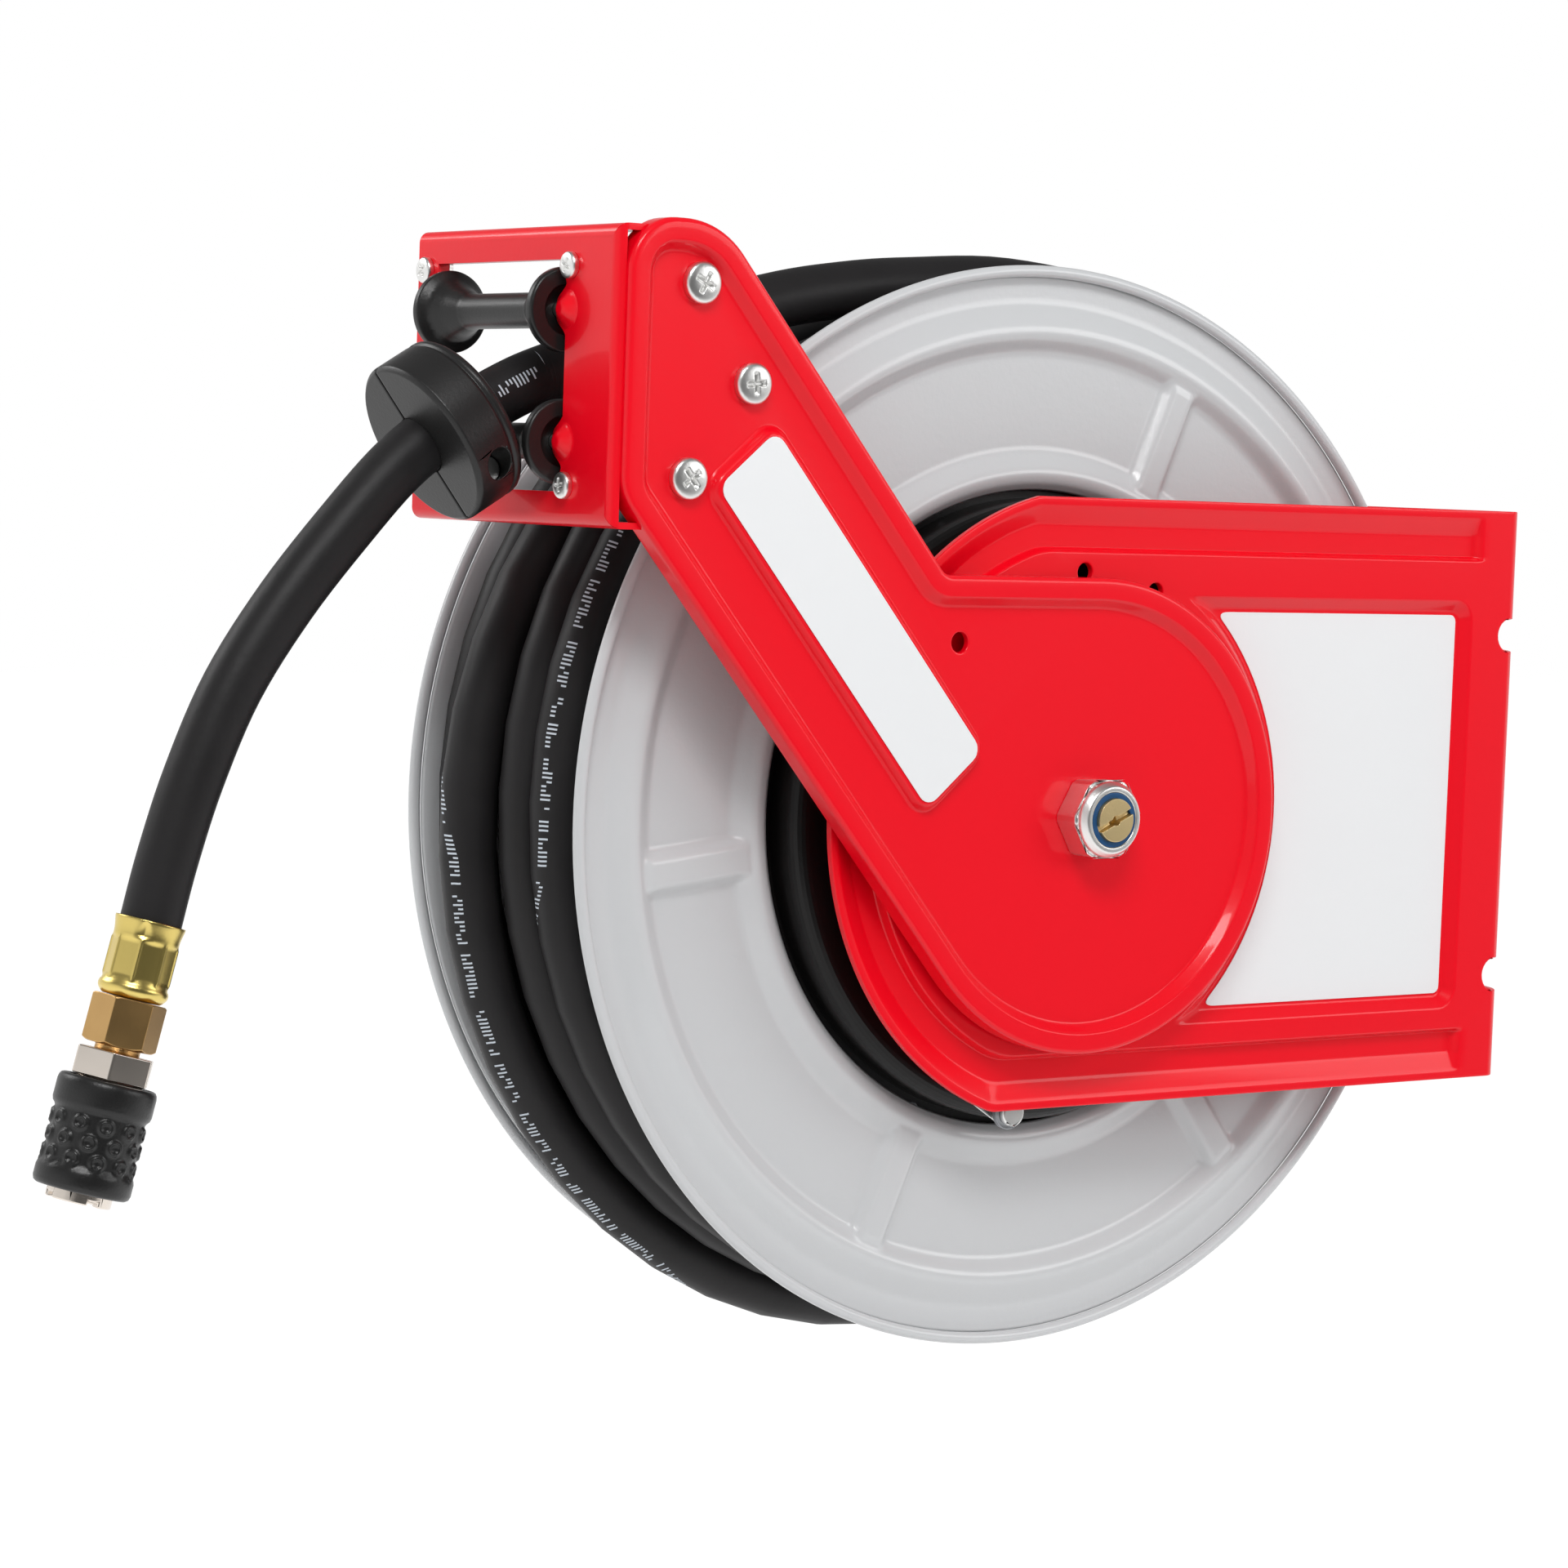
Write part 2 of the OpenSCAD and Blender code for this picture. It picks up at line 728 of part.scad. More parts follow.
module ratchet_wheel() {
    step = 360 / ratchet_teeth;
    root_r = ratchet_r - tooth_depth;
    phase = pawl_dir - 5.5;
    color("dimgray")
        facing(y_wheel_back)
            linear_extrude(ratchet_t)
                difference() {
                    // Each tooth: crest, steep face, root and ramp to the next crest.
                    polygon([for (i = [0:ratchet_teeth - 1]) for (q = [
                        [ratchet_r, 0], [root_r, 0.1], [root_r, 0.6], [ratchet_r - 0.3, 0.87]])
                        let (a = phase + step * (i + q[1]))
                        q[0] * [cos(a), sin(a)]]);
                    intersection() {
                        circle(r = axle_r);
                        square([3 * axle_r, wheel_flat_w], center = true);
                    }
                }
}

module spring_arbor() {
    color("slategray")
        difference() {
            ring(axle_r, arbor_r, arbor_front, arbor_back);
            cross_bar([y_arbor_pin, 0], arbor_pin_r, -2 * arbor_r, 2 * arbor_r);
        }
}

module arbor_pin() {
    color("gray")
        cross_bar([y_arbor_pin, 0], arbor_pin_r, 1 - arbor_r, arbor_r - 1);
}

module thrust_washer() {
    color("gray")
        ring(axle_r + run_fit, axle_r + bush_flange_w, y_washer, y_washer + washer_t);
}

module retaining_ring() {
    gap_w = 8;
    color("dimgray")
        difference() {
            ring(axle_r - ring_groove, axle_r + 3.2, y_ring, y_ring + ring_t);
            translate([-axle_to_wall, y_ring - 1, -gap_w / 2])
                cube([2 * axle_r, ring_t + 2, gap_w]);
        }
}

// ------------------------------------------------------------------- drum

// The disc's section from rim to annulus, as [radius, depth below the rim].
bead_r = 1.9;
DISC_SECTION = [
    [disc_r - bead_r, bead_r + 1], [disc_r - 5, 3.5], [disc_r - 12, 3.5], [disc_r - 20, 0],
    [disc_r - 23, 0], [disc_r - 28, disc_dish]
];
lip_outer_r = disc_hole_r + 13;
lip_crest_r = disc_hole_r + 5;
rib_in_r = lip_crest_r + 2;
rib_out_r = disc_r - 25;

// One disc's sheet: section points, then the same line one sheet further in.
module disc_sheet(section) {
    back = [for (i = [len(section) - 1:-1:0]) section[i] + [0, disc_t]];
    rotate_extrude()
        polygon(concat(section, back));
    rotate_extrude()
        translate([disc_r - bead_r, bead_r])
            circle(r = bead_r, $fn = 24);
}

// Six raised ribs between the lip and the outer ridge.
module disc_ribs() {
    rib_rise = disc_dish - 0.4;
    for (i = [0:5])
        rotate([0, 0, -7 - 60 * i])
            translate([rib_in_r, -rib_w / 2, 0.4])
                cube([rib_out_r - rib_in_r, rib_w, rib_rise + disc_t]);
}

module front_disc() {
    section = concat(DISC_SECTION, [
        [lip_outer_r, disc_dish], [lip_crest_r + 1.5, 0.2], [lip_crest_r - 0.5, 0.2],
        [disc_hole_r + 1.5, 1.5], [disc_hole_r, disc_dish]
    ]);
    color("lightgray")
        translate([-axle_to_wall, y_rim, 0])
            rotate([-90, 0, 0]) {
                disc_sheet(section);
                disc_ribs();
            }
}

module rear_disc() {
    web_r = axle_r + bush_wall;
    section = concat(DISC_SECTION, [[web_r, disc_dish]]);
    color("lightgray")
        difference() {
            translate([-axle_to_wall, y_rear_rim, 0])
                rotate([90, 0, 0]) {
                    disc_sheet(section);
                    disc_ribs();
                }
            for (i = [0:3])
                bar(swivel_bolt_r * [cos(45 + 90 * i), sin(45 + 90 * i)], m4_r + hole_play,
                    y_rear_web - 1, y_rear_rim + 1);
        }
}

module drum_barrel() {
    wall = 1.5;
    color("lightgray")
        difference() {
            turned()
                polygon([
                    [barrel_r - wall, y_joint], [barrel_r + barrel_flange, y_joint],
                    [barrel_r + barrel_flange, y_joint + wall], [barrel_r, y_joint + wall],
                    [barrel_r, y_rear_web - wall], [barrel_r + barrel_flange, y_rear_web - wall],
                    [barrel_r + barrel_flange, y_rear_web], [barrel_r - wall, y_rear_web]
                ]);
            // Passage of the hose from the inside to the first turn.
            translate([-axle_to_wall + 4, y_gallery - passage_w / 2, barrel_r - 25])
                cube([passage_l, passage_w, 40]);
        }
}

module spring_cover() {
    round_r = 5;
    color("#1c1c1e")
        difference() {
            turned()
                polygon(concat(
                    [[axle_r + bush_wall, y_cover]],
                    [for (a = [0:15:90])
                        [spring_house_r - round_r + round_r * sin(a), y_cover + round_r * (1 - cos(a))]],
                    [
                        [spring_house_r, y_joint], [spring_house_r + flange_w, y_joint],
                        [spring_house_r + flange_w, y_joint + cover_t],
                        [spring_house_r - cover_t, y_joint + cover_t],
                        [spring_house_r - cover_t, y_cover + round_r],
                        [spring_house_r - round_r, y_cover + cover_t],
                        [axle_r + bush_wall, y_cover + cover_t]
                    ]
                ));
            rivet_holes();
            bar(pawl_pivot_at, pawl_pin_r, y_cover - 1, y_cover + 2 * round_r);
        }
}

module spring_case() {
    color("#242426")
        difference() {
            turned()
                polygon([
                    [spring_house_r - house_wall, y_joint + cover_t],
                    [spring_house_r + flange_w, y_joint + cover_t],
                    [spring_house_r + flange_w, y_joint + cover_t + house_wall],
                    [spring_house_r, y_joint + cover_t + house_wall],
                    [spring_house_r, y_case_back],
                    [axle_r + 2, y_case_back], [axle_r + 2, y_case_back - house_wall],
                    [spring_house_r - house_wall, y_case_back - house_wall]
                ]);
            rivet_holes();
        }
}

function on_circle(r, i, count) = r * [cos(360 * (i + 0.5) / count), sin(360 * (i + 0.5) / count)];

module rivet_holes() {
    for (i = [0:rivet_count - 1])
        bar(on_circle(rivet_circle_r, i, rivet_count), rivet_r,
            y_joint - 1, y_joint + cover_t + house_wall + 1);
}

module case_rivets() {
    y_back = y_joint + cover_t + house_wall;
    color("gray")
        for (i = [0:rivet_count - 1]) {
            bar(on_circle(rivet_circle_r, i, rivet_count), rivet_r, y_joint, y_back);
            bar(on_circle(rivet_circle_r, i, rivet_count), rivet_head_r, y_back, y_back + rivet_head_h);
        }
}

// Flat strip wound from the arbor to the housing's wall.
module mainspring() {
    per_turn = 30;
    r0 = arbor_r + side_gap;
    r1 = spring_house_r - house_wall - mainspring_t - 2 * eps;
    last = mainspring_turns * per_turn;
    spiral = [for (i = [0:last])
        let (f = i / last, a = 360 * i / per_turn)
        [r0 + (r1 - r0) * f, a]];
    inner = [for (s = spiral) s[0] * [cos(s[1]), sin(s[1])]];
    outer = [for (i = [last:-1:0])
        (spiral[i][0] + mainspring_t) * [cos(spiral[i][1]), sin(spiral[i][1])]];
    color("darkslategray")
        facing(y_spring + mainspring_w)
            linear_extrude(mainspring_w)
                polygon(concat(inner, outer));
}

// Flanged plain bearing: flange outside the sheet, barrel through it.
module front_bush() {
    r_in = axle_r + run_fit;
    color("peru")
        turned()
            polygon([
                [r_in, y_cover - bush_flange_t], [axle_r + bush_wall + bush_flange_w, y_cover - bush_flange_t],
                [axle_r + bush_wall + bush_flange_w, y_cover], [axle_r + bush_wall, y_cover],
                [axle_r + bush_wall, y_cover + bush_len], [r_in, y_cover + bush_len]
            ]);
}

module rear_bush() {
    r_in = axle_r + run_fit;
    y_flange = y_rear_web + disc_t;
    color("peru")
        turned()
            polygon([
                [r_in, y_rear_web - rear_bush_len], [axle_r + bush_wall, y_rear_web - rear_bush_len],
                [axle_r + bush_wall, y_flange], [axle_r + bush_wall + bush_flange_w, y_flange],
                [axle_r + bush_wall + bush_flange_w, y_flange + bush_flange_t],
                [r_in, y_flange + bush_flange_t]
            ]);
}

module swivel_housing() {
    color("goldenrod")
        difference() {
            union() {
                bar([0, 0], swivel_r, swivel_front, y_rear_web);
                bar([0, 0], swivel_flange_r, y_rear_web - swivel_flange_t, y_rear_web);
            }
            bar([0, 0], axle_r + run_fit, swivel_front - 1, y_rear_web + 1);
            bar([0, 0], axle_r + bush_wall, y_rear_web - rear_bush_len, y_rear_web + 1);
            bar([0, 0], gallery_r, y_gallery - gallery_w / 2, y_gallery + gallery_w / 2);
            for (side = [-1, 1])
                bar([0, 0], axle_r + 2 * seal_r + 0.1,
                    y_gallery + side * seal_off - seal_r - 0.1, y_gallery + side * seal_off + seal_r + 0.1);
            translate([-axle_to_wall, y_gallery, 0])
                cylinder(r = spigot_r, h = swivel_r + 1);
            for (i = [0:3])
                bar(swivel_bolt_r * [cos(45 + 90 * i), sin(45 + 90 * i)], m4_r,
                    y_rear_web - swivel_flange_t - 1, y_rear_web + 1);
        }
}

module swivel_seals() {
    color("#202020")
        for (side = [-1, 1])
            turned()
                translate([axle_r + run_fit / 2 + seal_r, y_gallery + side * seal_off])
                    circle(r = seal_r, $fn = 24);
}

module swivel_screws() {
    color("silver")
        for (i = [0:3])
            let (at = swivel_bolt_r * [cos(45 + 90 * i), sin(45 + 90 * i)]) {
                bar(at, m4_r, y_rear_web - swivel_flange_t, y_rear_web + disc_t);
                bar(at, m4_head_r, y_rear_web + disc_t, y_rear_web + disc_t + m4_head_h);
            }
}

// Threaded stub of the swivel with a hexagon and a hose tail.
module outlet_fitting() {
    hex_h = 8;
    tail = inner_start + inner_ferrule_len;
    color("goldenrod")
        difference() {
            translate([-axle_to_wall, y_gallery, 0]) {
                translate([0, 0, gallery_r + 1])
                    cylinder(r = spigot_r, h = swivel_r - gallery_r);
                translate([0, 0, swivel_r])
                    hexagon(18, hex_h);
                translate([0, 0, swivel_r])
                    cylinder(r = hose_bore / 2, h = tail - swivel_r - 4);
            }
            translate([-axle_to_wall, y_gallery, gallery_r])
                cylinder(r = 3.5, h = tail);
        }
}

// First stretch of hose: a straight piece over the fitting's tail, and the
// bend that goes on from its end towards the passage in the barrel.
module inner_hose() {
    barb_depth = inner_ferrule_len - 4;
    color("#26272a")
        translate([-axle_to_wall, y_gallery, inner_start]) {
            difference() {
                cylinder(d = hose_d, h = inner_straight - 2 * eps);
                translate([0, 0, -1])
                    cylinder(d = hose_bore, h = barb_depth + 1);
            }
            translate([inner_bend, 0, inner_straight])
                rotate([90, 0, 0])
                    rotate([0, 0, 180 - inner_turn])
                        rotate_extrude(angle = inner_turn)
                            translate([inner_bend, 0])
                                circle(d = hose_d);
        }
}

module inner_ferrule() {
    color("gold")
        translate([-axle_to_wall, y_gallery, inner_start - 2])
            difference() {
                cylinder(r = hose_d / 2 + inner_ferrule_wall, h = inner_ferrule_len);
                translate([0, 0, 2])
                    cylinder(d = hose_d, h = inner_ferrule_len);
                translate([0, 0, -1])
                    cylinder(d = hose_bore, h = 4);
            }
}

function y_turn(k) = y_rear_web - turn_side - turn_r - (turn_count - 1 - k) * turn_pitch;

// Radius of a turn: the outer turns' own, or what the lead above leaves for it.
function below_lead(y) =
    let (reach = hose_d / 2 + turn_r + lead_play, off = abs(y - y_mid))
    off < reach ? lead_r - sqrt(reach * reach - off * off) : outer_turn_r;
function turn_path_r(k) = k == loose_turn ? loose_turn_r : min(outer_turn_r, below_lead(y_turn(k)));
function layer_r(k) =
    turn_path_r(k) - turn_r - 2 * winding_seat - (k == loose_turn ? loose_turn_off : 0);

// Wound hose: the layers below as one body, and the outermost turns on it.
module hose_winding() {
    y0 = y_joint + winding_side;
    y1 = y_rear_web - winding_side;
    last = turn_count - 1;
    color("#26272a") {
        turned()
            polygon(concat(
                [
                    [barrel_r + winding_seat, y0 + barrel_flange / 3],
                    [barrel_r + barrel_flange, y0 + barrel_flange / 3], [barrel_r + barrel_flange, y0]
                ],
                [
                    for (k = [0:last])
                        for (side = [-1, 1])
                            [layer_r(k), k == 0 && side < 0 ? y0 : min(y1, y_turn(k) + side * turn_pitch / 2)]
                ],
                [
                    [barrel_r + barrel_flange, y1], [barrel_r + barrel_flange, y1 - barrel_flange / 3],
                    [barrel_r + winding_seat, y1 - barrel_flange / 3]
                ]
            ));
        for (k = [0:last])
            let (off = k == loose_turn ? loose_turn_off : 0)
                translate(off * [cos(loose_turn_dir), 0, sin(loose_turn_dir)])
                    turned()
                        translate([turn_path_r(k), y_turn(k)])
                            circle(r = turn_r);
    }
}

// ------------------------------------------------------------------- pawl

pawl_pivot_at = pawl_pivot_r * [cos(pawl_dir), sin(pawl_dir)];
y_pawl = y_wheel + pawl_play;
// The pawl's rest direction stands off the way to the axle by its swing.
pawl_turn = pawl_dir + 180 - pawl_swing;

module pawl_screw() {
    color("silver") {
        bar(pawl_pivot_at, pawl_head_r, y_wheel - pawl_head_h, y_wheel);
        bar(pawl_pivot_at, pawl_pin_r, y_wheel - eps, y_cover + 4);
    }
}

// Local x runs from the pivot to the tip. The tip stands clear of the teeth
// and drops between two of them as the pawl swings in.
module pawl() {
    reach = pawl_pivot_r - ratchet_r + pawl_bite;
    color("gray")
        facing(y_pawl + pawl_t)
            translate(pawl_pivot_at)
                rotate([0, 0, pawl_turn])
                    difference() {
                        linear_extrude(pawl_t)
                            union() {
                                circle(r = pawl_hub_r);
                                polygon([
                                    [0, -pawl_hub_r + 0.5], [0, pawl_hub_r - 0.5],
                                    [reach, pawl_wide / 2], [reach, -pawl_wide / 2]
                                ]);
                            }
                        translate([0, 0, -1])
                            cylinder(r = pawl_pin_r + run_fit, h = pawl_t + 2);
                    }
}

module pawl_spring() {
    turns = 1.5;
    pitch = 2 * wire_r + 0.04;
    coil = helix(pawl_pin_r + 0.9 + wire_r, pitch, turns, 16);
    last = coil[len(coil) - 1];
    color("silver")
        facing(y_cover - 0.05 - wire_r)
            translate(concat(pawl_pivot_at, 0))
                rotate([0, 0, pawl_turn + 180])
                    tube_along(concat([coil[0] + [0, -16, 0]], coil, [last + [0, -12, 0]]),
                        wire_r, 6, [0, 0, 1]);
}

// -------------------------------------------------------------- guide arm

module pad_shape(w, l, r) {
    translate(pad_at)
        rotate([0, 0, arm_lean])
            polygon(concat(
                arc([l / 2 - r, w / 2 - r], r, 0, 90, 6), arc([r - l / 2, w / 2 - r], r, 90, 180, 6),
                arc([r - l / 2, r - w / 2], r, 180, 270, 6), arc([l / 2 - r, r - w / 2], r, 270, 360, 6)
            ));
}

module guide_arm() {
    y_edge = y_arm_rim + arm_edge;
    color("crimson")
        difference() {
            union() {
                difference() {
                    facing(y_edge)
                        linear_extrude(arm_edge)
                            polygon(arm_outline(0));
                    // Pressed face, seen from the front.
                    facing(y_arm_face)
                        linear_extrude(arm_press + 1)
                            polygon(arm_outline(arm_rim_w));
                    // Hollow behind the face, and behind the rim.
                    facing(y_edge + 1)
                        linear_extrude(y_edge + 1 - y_arm_back)
                            polygon(arm_outline(arm_t));
                    facing(y_edge + 1)
                        linear_extrude(y_edge + 1 - y_arm_rim - arm_t)
                            difference() {
                                polygon(arm_outline(arm_t));
                                polygon(arm_outline(arm_rim_w - arm_t));
                            }
                }
                facing(y_arm_back - 0.5)
                    linear_extrude(arm_t - 0.5 + pad_h)
                        pad_shape(pad_w, pad_len, pad_corner);
            }
            // Back of the label pad.
            facing(y_arm_back + 1)
                linear_extrude(pad_h + 1)
                    pad_shape(pad_w - 2 * arm_t, pad_len - 2 * arm_t, pad_corner - arm_t);
            bar([0, 0], axle_front_r + run_fit, y_arm_rim - 1, y_edge + 1);
            bar(index_r * [cos(arm_index_turn), sin(arm_index_turn)], index_hole_r,
                y_arm_rim - 1, y_edge + 1);
            for (at = bracket_bolts)
                bar(at, m6_r + hole_play, y_arm_rim - 1, y_edge + 1);
            // The folded edge stops where the guide bracket's tab passes.
            translate([-axle_to_wall - arm_side - 1, y_arm_back, arm_straight_z0])
                cube([2 * arm_t + 1, arm_edge, arm_straight_z1 - arm_straight_z0]);
        }
}

module arm_label() {
    color("white")
        facing(y_arm_face - pad_h)
            linear_extrude(label_t)
                pad_shape(pad_w - 2 * label_margin, pad_len - 2 * label_margin, pad_corner - label_margin);
}

module bracket_screws() {
    color("silver")
        for (at = bracket_bolts) {
            bar(at, m6_head_r, y_arm_face - m6_head_h, y_arm_face);
            bar(at, m6_r, y_arm_face, y_arm_back + guide_t + m6_nut_h + 1);
        }
}

module bracket_nuts() {
    y0 = y_arm_back + guide_t;
    color("silver")
        for (at = bracket_bolts)
            difference() {
                facing(y0 + m6_nut_h)
                    translate(at)
                        hexagon(m6_nut_af, m6_nut_h);
                bar(at, m6_r, y0 - 1, y0 + m6_nut_h + 1);
            }
}

// ------------------------------------------------------------- hose guide

// Window of the guide, drawn flat as [y, z], with ears round domes and screws.
module window_shape() {
    difference() {
        translate([y_window, guide_z - window_h / 2])
            square([window_l, window_h]);
        for (y = dome_y)
            for (side = [-1, 1])
                translate([y, guide_z + side * roller_pitch / 2])
                    circle(r = dome_r + dome_margin);
        for (b = guide_bolts)
            translate(b)
                circle(r = m4_head_r + 0.9);
    }
}

// Flat shapes [y, z] given a thickness along X, from x towards +X.
module upright(x, t) {
    translate([-axle_to_wall + x, 0, 0])
        rotate([90, 0, 90])
            linear_extrude(t)
                children();
}

module guide_bracket() {
    z0 = guide_z - guide_h / 2;
    color("crimson")
        difference() {
            union() {
                upright(-guide_face, guide_t)
                    difference() {
                        translate([y_guide_near, z0])
                            square([y_guide_far - y_guide_near, guide_h]);
                        window_shape();
                    }
                // Folded edges above and below.
                for (z = [z0, z0 + guide_h - guide_t])
                    translate([-axle_to_wall - guide_face, y_arm_back + guide_t, z])
                        cube([guide_fold, y_guide_far - y_arm_back - guide_t, guide_t]);
                // Tab behind the arm, and the strip that joins it past the arm's side.
                facing(y_arm_back + guide_t)
                    linear_extrude(guide_t)
                        intersection() {
                            polygon(arm_outline(arm_t + side_gap));
                            translate([-guide_face, z0])
                                square([tab_reach, guide_h]);
                        }
                translate([-axle_to_wall - guide_face, y_arm_back, arm_straight_z0 + side_gap])
                    cube([guide_face - arm_side + arm_t + 1, guide_t,
                        arm_straight_z1 - arm_straight_z0 - 2 * side_gap]);
                pin_domes(-1);
            }
            pin_seats();
            for (b = guide_bolts)
                cross_bar(b, m4_r + hole_play, -guide_face - 1, -guide_axis + 1);
            for (at = bracket_bolts)
                bar(at, m6_r + hole_play, y_arm_back - 1, y_arm_back + guide_t + 1);
        }
}

// Pressed half domes round the pins' ends, on one side of the joint plane.
module pin_domes(side_x) {
    for (y = dome_y)
        for (side = [-1, 1])
            translate([-axle_to_wall - guide_axis, y, guide_z + side * roller_pitch / 2])
                intersection() {
                    sphere(r = dome_r, $fn = 32);
                    translate([min(0, side_x * dome_r), -dome_r, -dome_r])
                        cube([dome_r, 2 * dome_r, 2 * dome_r]);
                }
}

module pin_seats() {
    for (side = [-1, 1])
        bar([-guide_axis, guide_z + side * roller_pitch / 2], roller_pin_r + 0.02,
            dome_y[0] - dome_r + 1.5, dome_y[1] + dome_r - 1.5);
}

module guide_clamp_plate() {
    color("crimson")
        difference() {
            union() {
                upright(-guide_axis, guide_t)
                    difference() {
                        translate([y_guide_near + 12, guide_z - guide_h / 2 + guide_t + side_gap])
                            square([y_guide_far - y_guide_near - 12, guide_h - 2 * guide_t - 2 * side_gap]);
                        window_shape();
                    }
                pin_domes(1);
            }
            pin_seats();
            for (b = guide_bolts)
                cross_bar(b, m4_r + hole_play, -guide_axis - 1, -guide_axis + guide_t + 1);
        }
}

module guide_screws() {
    color("silver")
        for (b = guide_bolts) {
            cross_bar(b, m4_head_r, -guide_face - m4_head_h, -guide_face);
            cross_bar(b, m4_r, -guide_face, -guide_axis + guide_t + m4_nut_h + 1);
        }
}

module guide_nuts() {
    x0 = -guide_axis + guide_t;
    color("silver")
        for (b = guide_bolts)
            difference() {
                translate([-axle_to_wall + x0, b[0], b[1]])
                    rotate([0, 90, 0])
                        hexagon(m4_nut_af, m4_nut_h);
                cross_bar(b, m4_r, x0 - 1, x0 + m4_nut_h + 1);
            }
}

module roller_pins() {
    color("silver")
        for (side = [-1, 1])
            bar([-guide_axis, guide_z + side * roller_pitch / 2], roller_pin_r,
                dome_y[0] - dome_r + 1.7, dome_y[1] + dome_r - 1.7);
}

// Spool-shaped roller: flared ends with a recess round the pin.
module roller(side) {
    y1 = y_roller + roller_len;
    bore = roller_pin_r + run_fit;
    half = [for (p = [
        [bore, roller_recess], [roller_recess_r, roller_recess], [roller_recess_r, 0],
        [roller_flange_r - 0.6, 0], [roller_flange_r, 0.8], [roller_flange_r, roller_rim],
        [roller_flange_r - 3, roller_rim + 2], [roller_core_r + 2.4, roller_flare],
        [roller_core_r, roller_flare + 7]]) p];
    color("#1d1d1f")
        translate([-axle_to_wall - guide_axis, 0, guide_z + side * roller_pitch / 2])
            rotate([-90, 0, 0])
                rotate_extrude()
                    polygon(concat(
                        [for (p = half) [p[0], y_roller + p[1]]],
                        [for (i = [len(half) - 1:-1:0]) [half[i][0], y1 - half[i][1]]]
                    ));
}

module roller_top() {
    roller(1);
}

module roller_bottom() {
    roller(-1);
}

// ---------------------------------------------------------------- stopper

// Local z along the hose, local y along the axle, local x across both. The
// halves are alike: each takes one screw in a counterbore and holds the other
// screw's nut.
stopper_head_at = 9;
module stopper_body() {
    edge = 1.2;
    groove_at = 3.4 - stopper_w / 2;
    groove = 0.8;
    difference() {
        rotate_extrude()
            polygon([
                [hose_d / 2, -stopper_w / 2], [stopper_r - edge, -stopper_w / 2],
                [stopper_r, -stopper_w / 2 + edge], [stopper_r, groove_at - groove],
                [stopper_r - groove, groove_at], [stopper_r, groove_at + groove],
                [stopper_r, stopper_w / 2 - edge], [stopper_r - edge, stopper_w / 2],
                [hose_d / 2, stopper_w / 2]
            ]);
        for (side = [-1, 1])
            translate([side * stopper_screw_off, 0, 0])
                rotate([-side * 90, 0, 0]) {
                    translate([0, 0, -stopper_head_at - m4_nut_h])
                        cylinder(r = m4_r + hole_play, h = 2 * stopper_r);
                    translate([0, 0, stopper_head_at])
                        cylinder(r = m4_head_r + hole_play, h = stopper_r);
                    translate([0, 0, -stopper_head_at - m4_nut_h])
                        hexagon(m4_nut_af + 2 * side_gap, m4_nut_h);
                }
    }
}

module stopper_half(side) {
    intersection() {
        stopper_body();
        translate([-2 * stopper_r, side > 0 ? stopper_split / 2 : -2 * stopper_r, -stopper_r])
            cube([4 * stopper_r, 2 * stopper_r - (side > 0 ? 0 : stopper_split / 2), 2 * stopper_r]);
    }
}

module stopper_front_half() {
    color("#232325")
        on_stopper()
            stopper_half(-1);
}

module stopper_rear_half() {
    color("#232325")
        on_stopper()
            stopper_half(1);
}

module stopper_screws() {
    color("silver")
        on_stopper()
            for (side = [-1, 1])
                translate([side * stopper_screw_off, 0, 0])
                    rotate([-side * 90, 0, 0]) {
                        translate([0, 0, -stopper_head_at - m4_nut_h])
                            cylinder(r = m4_r, h = 2 * stopper_head_at + m4_nut_h);
                        translate([0, 0, stopper_head_at])
                            cylinder(r = m4_head_r, h = m4_head_h);
                    }
}

module stopper_nuts() {
    color("silver")
        on_stopper()
            for (side = [-1, 1])
                translate([side * stopper_screw_off, -side * stopper_head_at, 0])
                    rotate([side * 90, 0, 0])
                        difference() {
                            hexagon(m4_nut_af, m4_nut_h);
                            translate([0, 0, -1])
                                cylinder(r = m4_r, h = m4_nut_h + 2);
                        }
}

// ------------------------------------------------------ hose and coupling

module hose_run() {
    inside = ROUTE[route_len - 1] + hose_in_ferrule * END_DIR;
    flat = concat(smooth_route(ROUTE, steps_per_point), [inside]);
    path = [for (p = flat) [p[0] - axle_to_wall, y_mid, p[1]]];
    color("#26272a")
        tube_along(path, hose_d / 2, hose_sides, [0, 1, 0]);
}

// Turned profile of [radius, place along the fitting], from station s.
module end_turned(s, profile) {
    on_end(s)
        rotate_extrude()
            polygon(profile);
}

module hose_ferrule() {
    r = hose_d / 2 + ferrule_wall;
    collar = hose_d / 2 + ferrule_collar;
    color("gold")
        end_turned(0, [
            [hose_d / 2 + 0.02, 0], [collar, 0], [collar, 1.5], [r, 4.5], [r, ferrule_len - 5],
            [r + 0.5, ferrule_len - 4], [r + 0.5, ferrule_len - 1.5], [r - 0.5, ferrule_len],
            [hose_bore / 2, ferrule_len], [hose_bore / 2, hose_in_ferrule],
            [hose_d / 2 + 0.02, hose_in_ferrule]
        ]);
}

module union_nut() {
    color("darkgoldenrod")
        difference() {
            union() {
                on_end(ferrule_len)
                    intersection() {
                        hexagon(union_af, union_len);
                        cylinder(d = union_af / cos(30) - 0.6, h = union_len);
                    }
                on_end(ferrule_len + union_len)
                    cylinder(r = neck_r, h = neck_len);
            }
            on_end(ferrule_len - 1)
                cylinder(r = 4.5, h = union_len + neck_len + 2);
        }
}

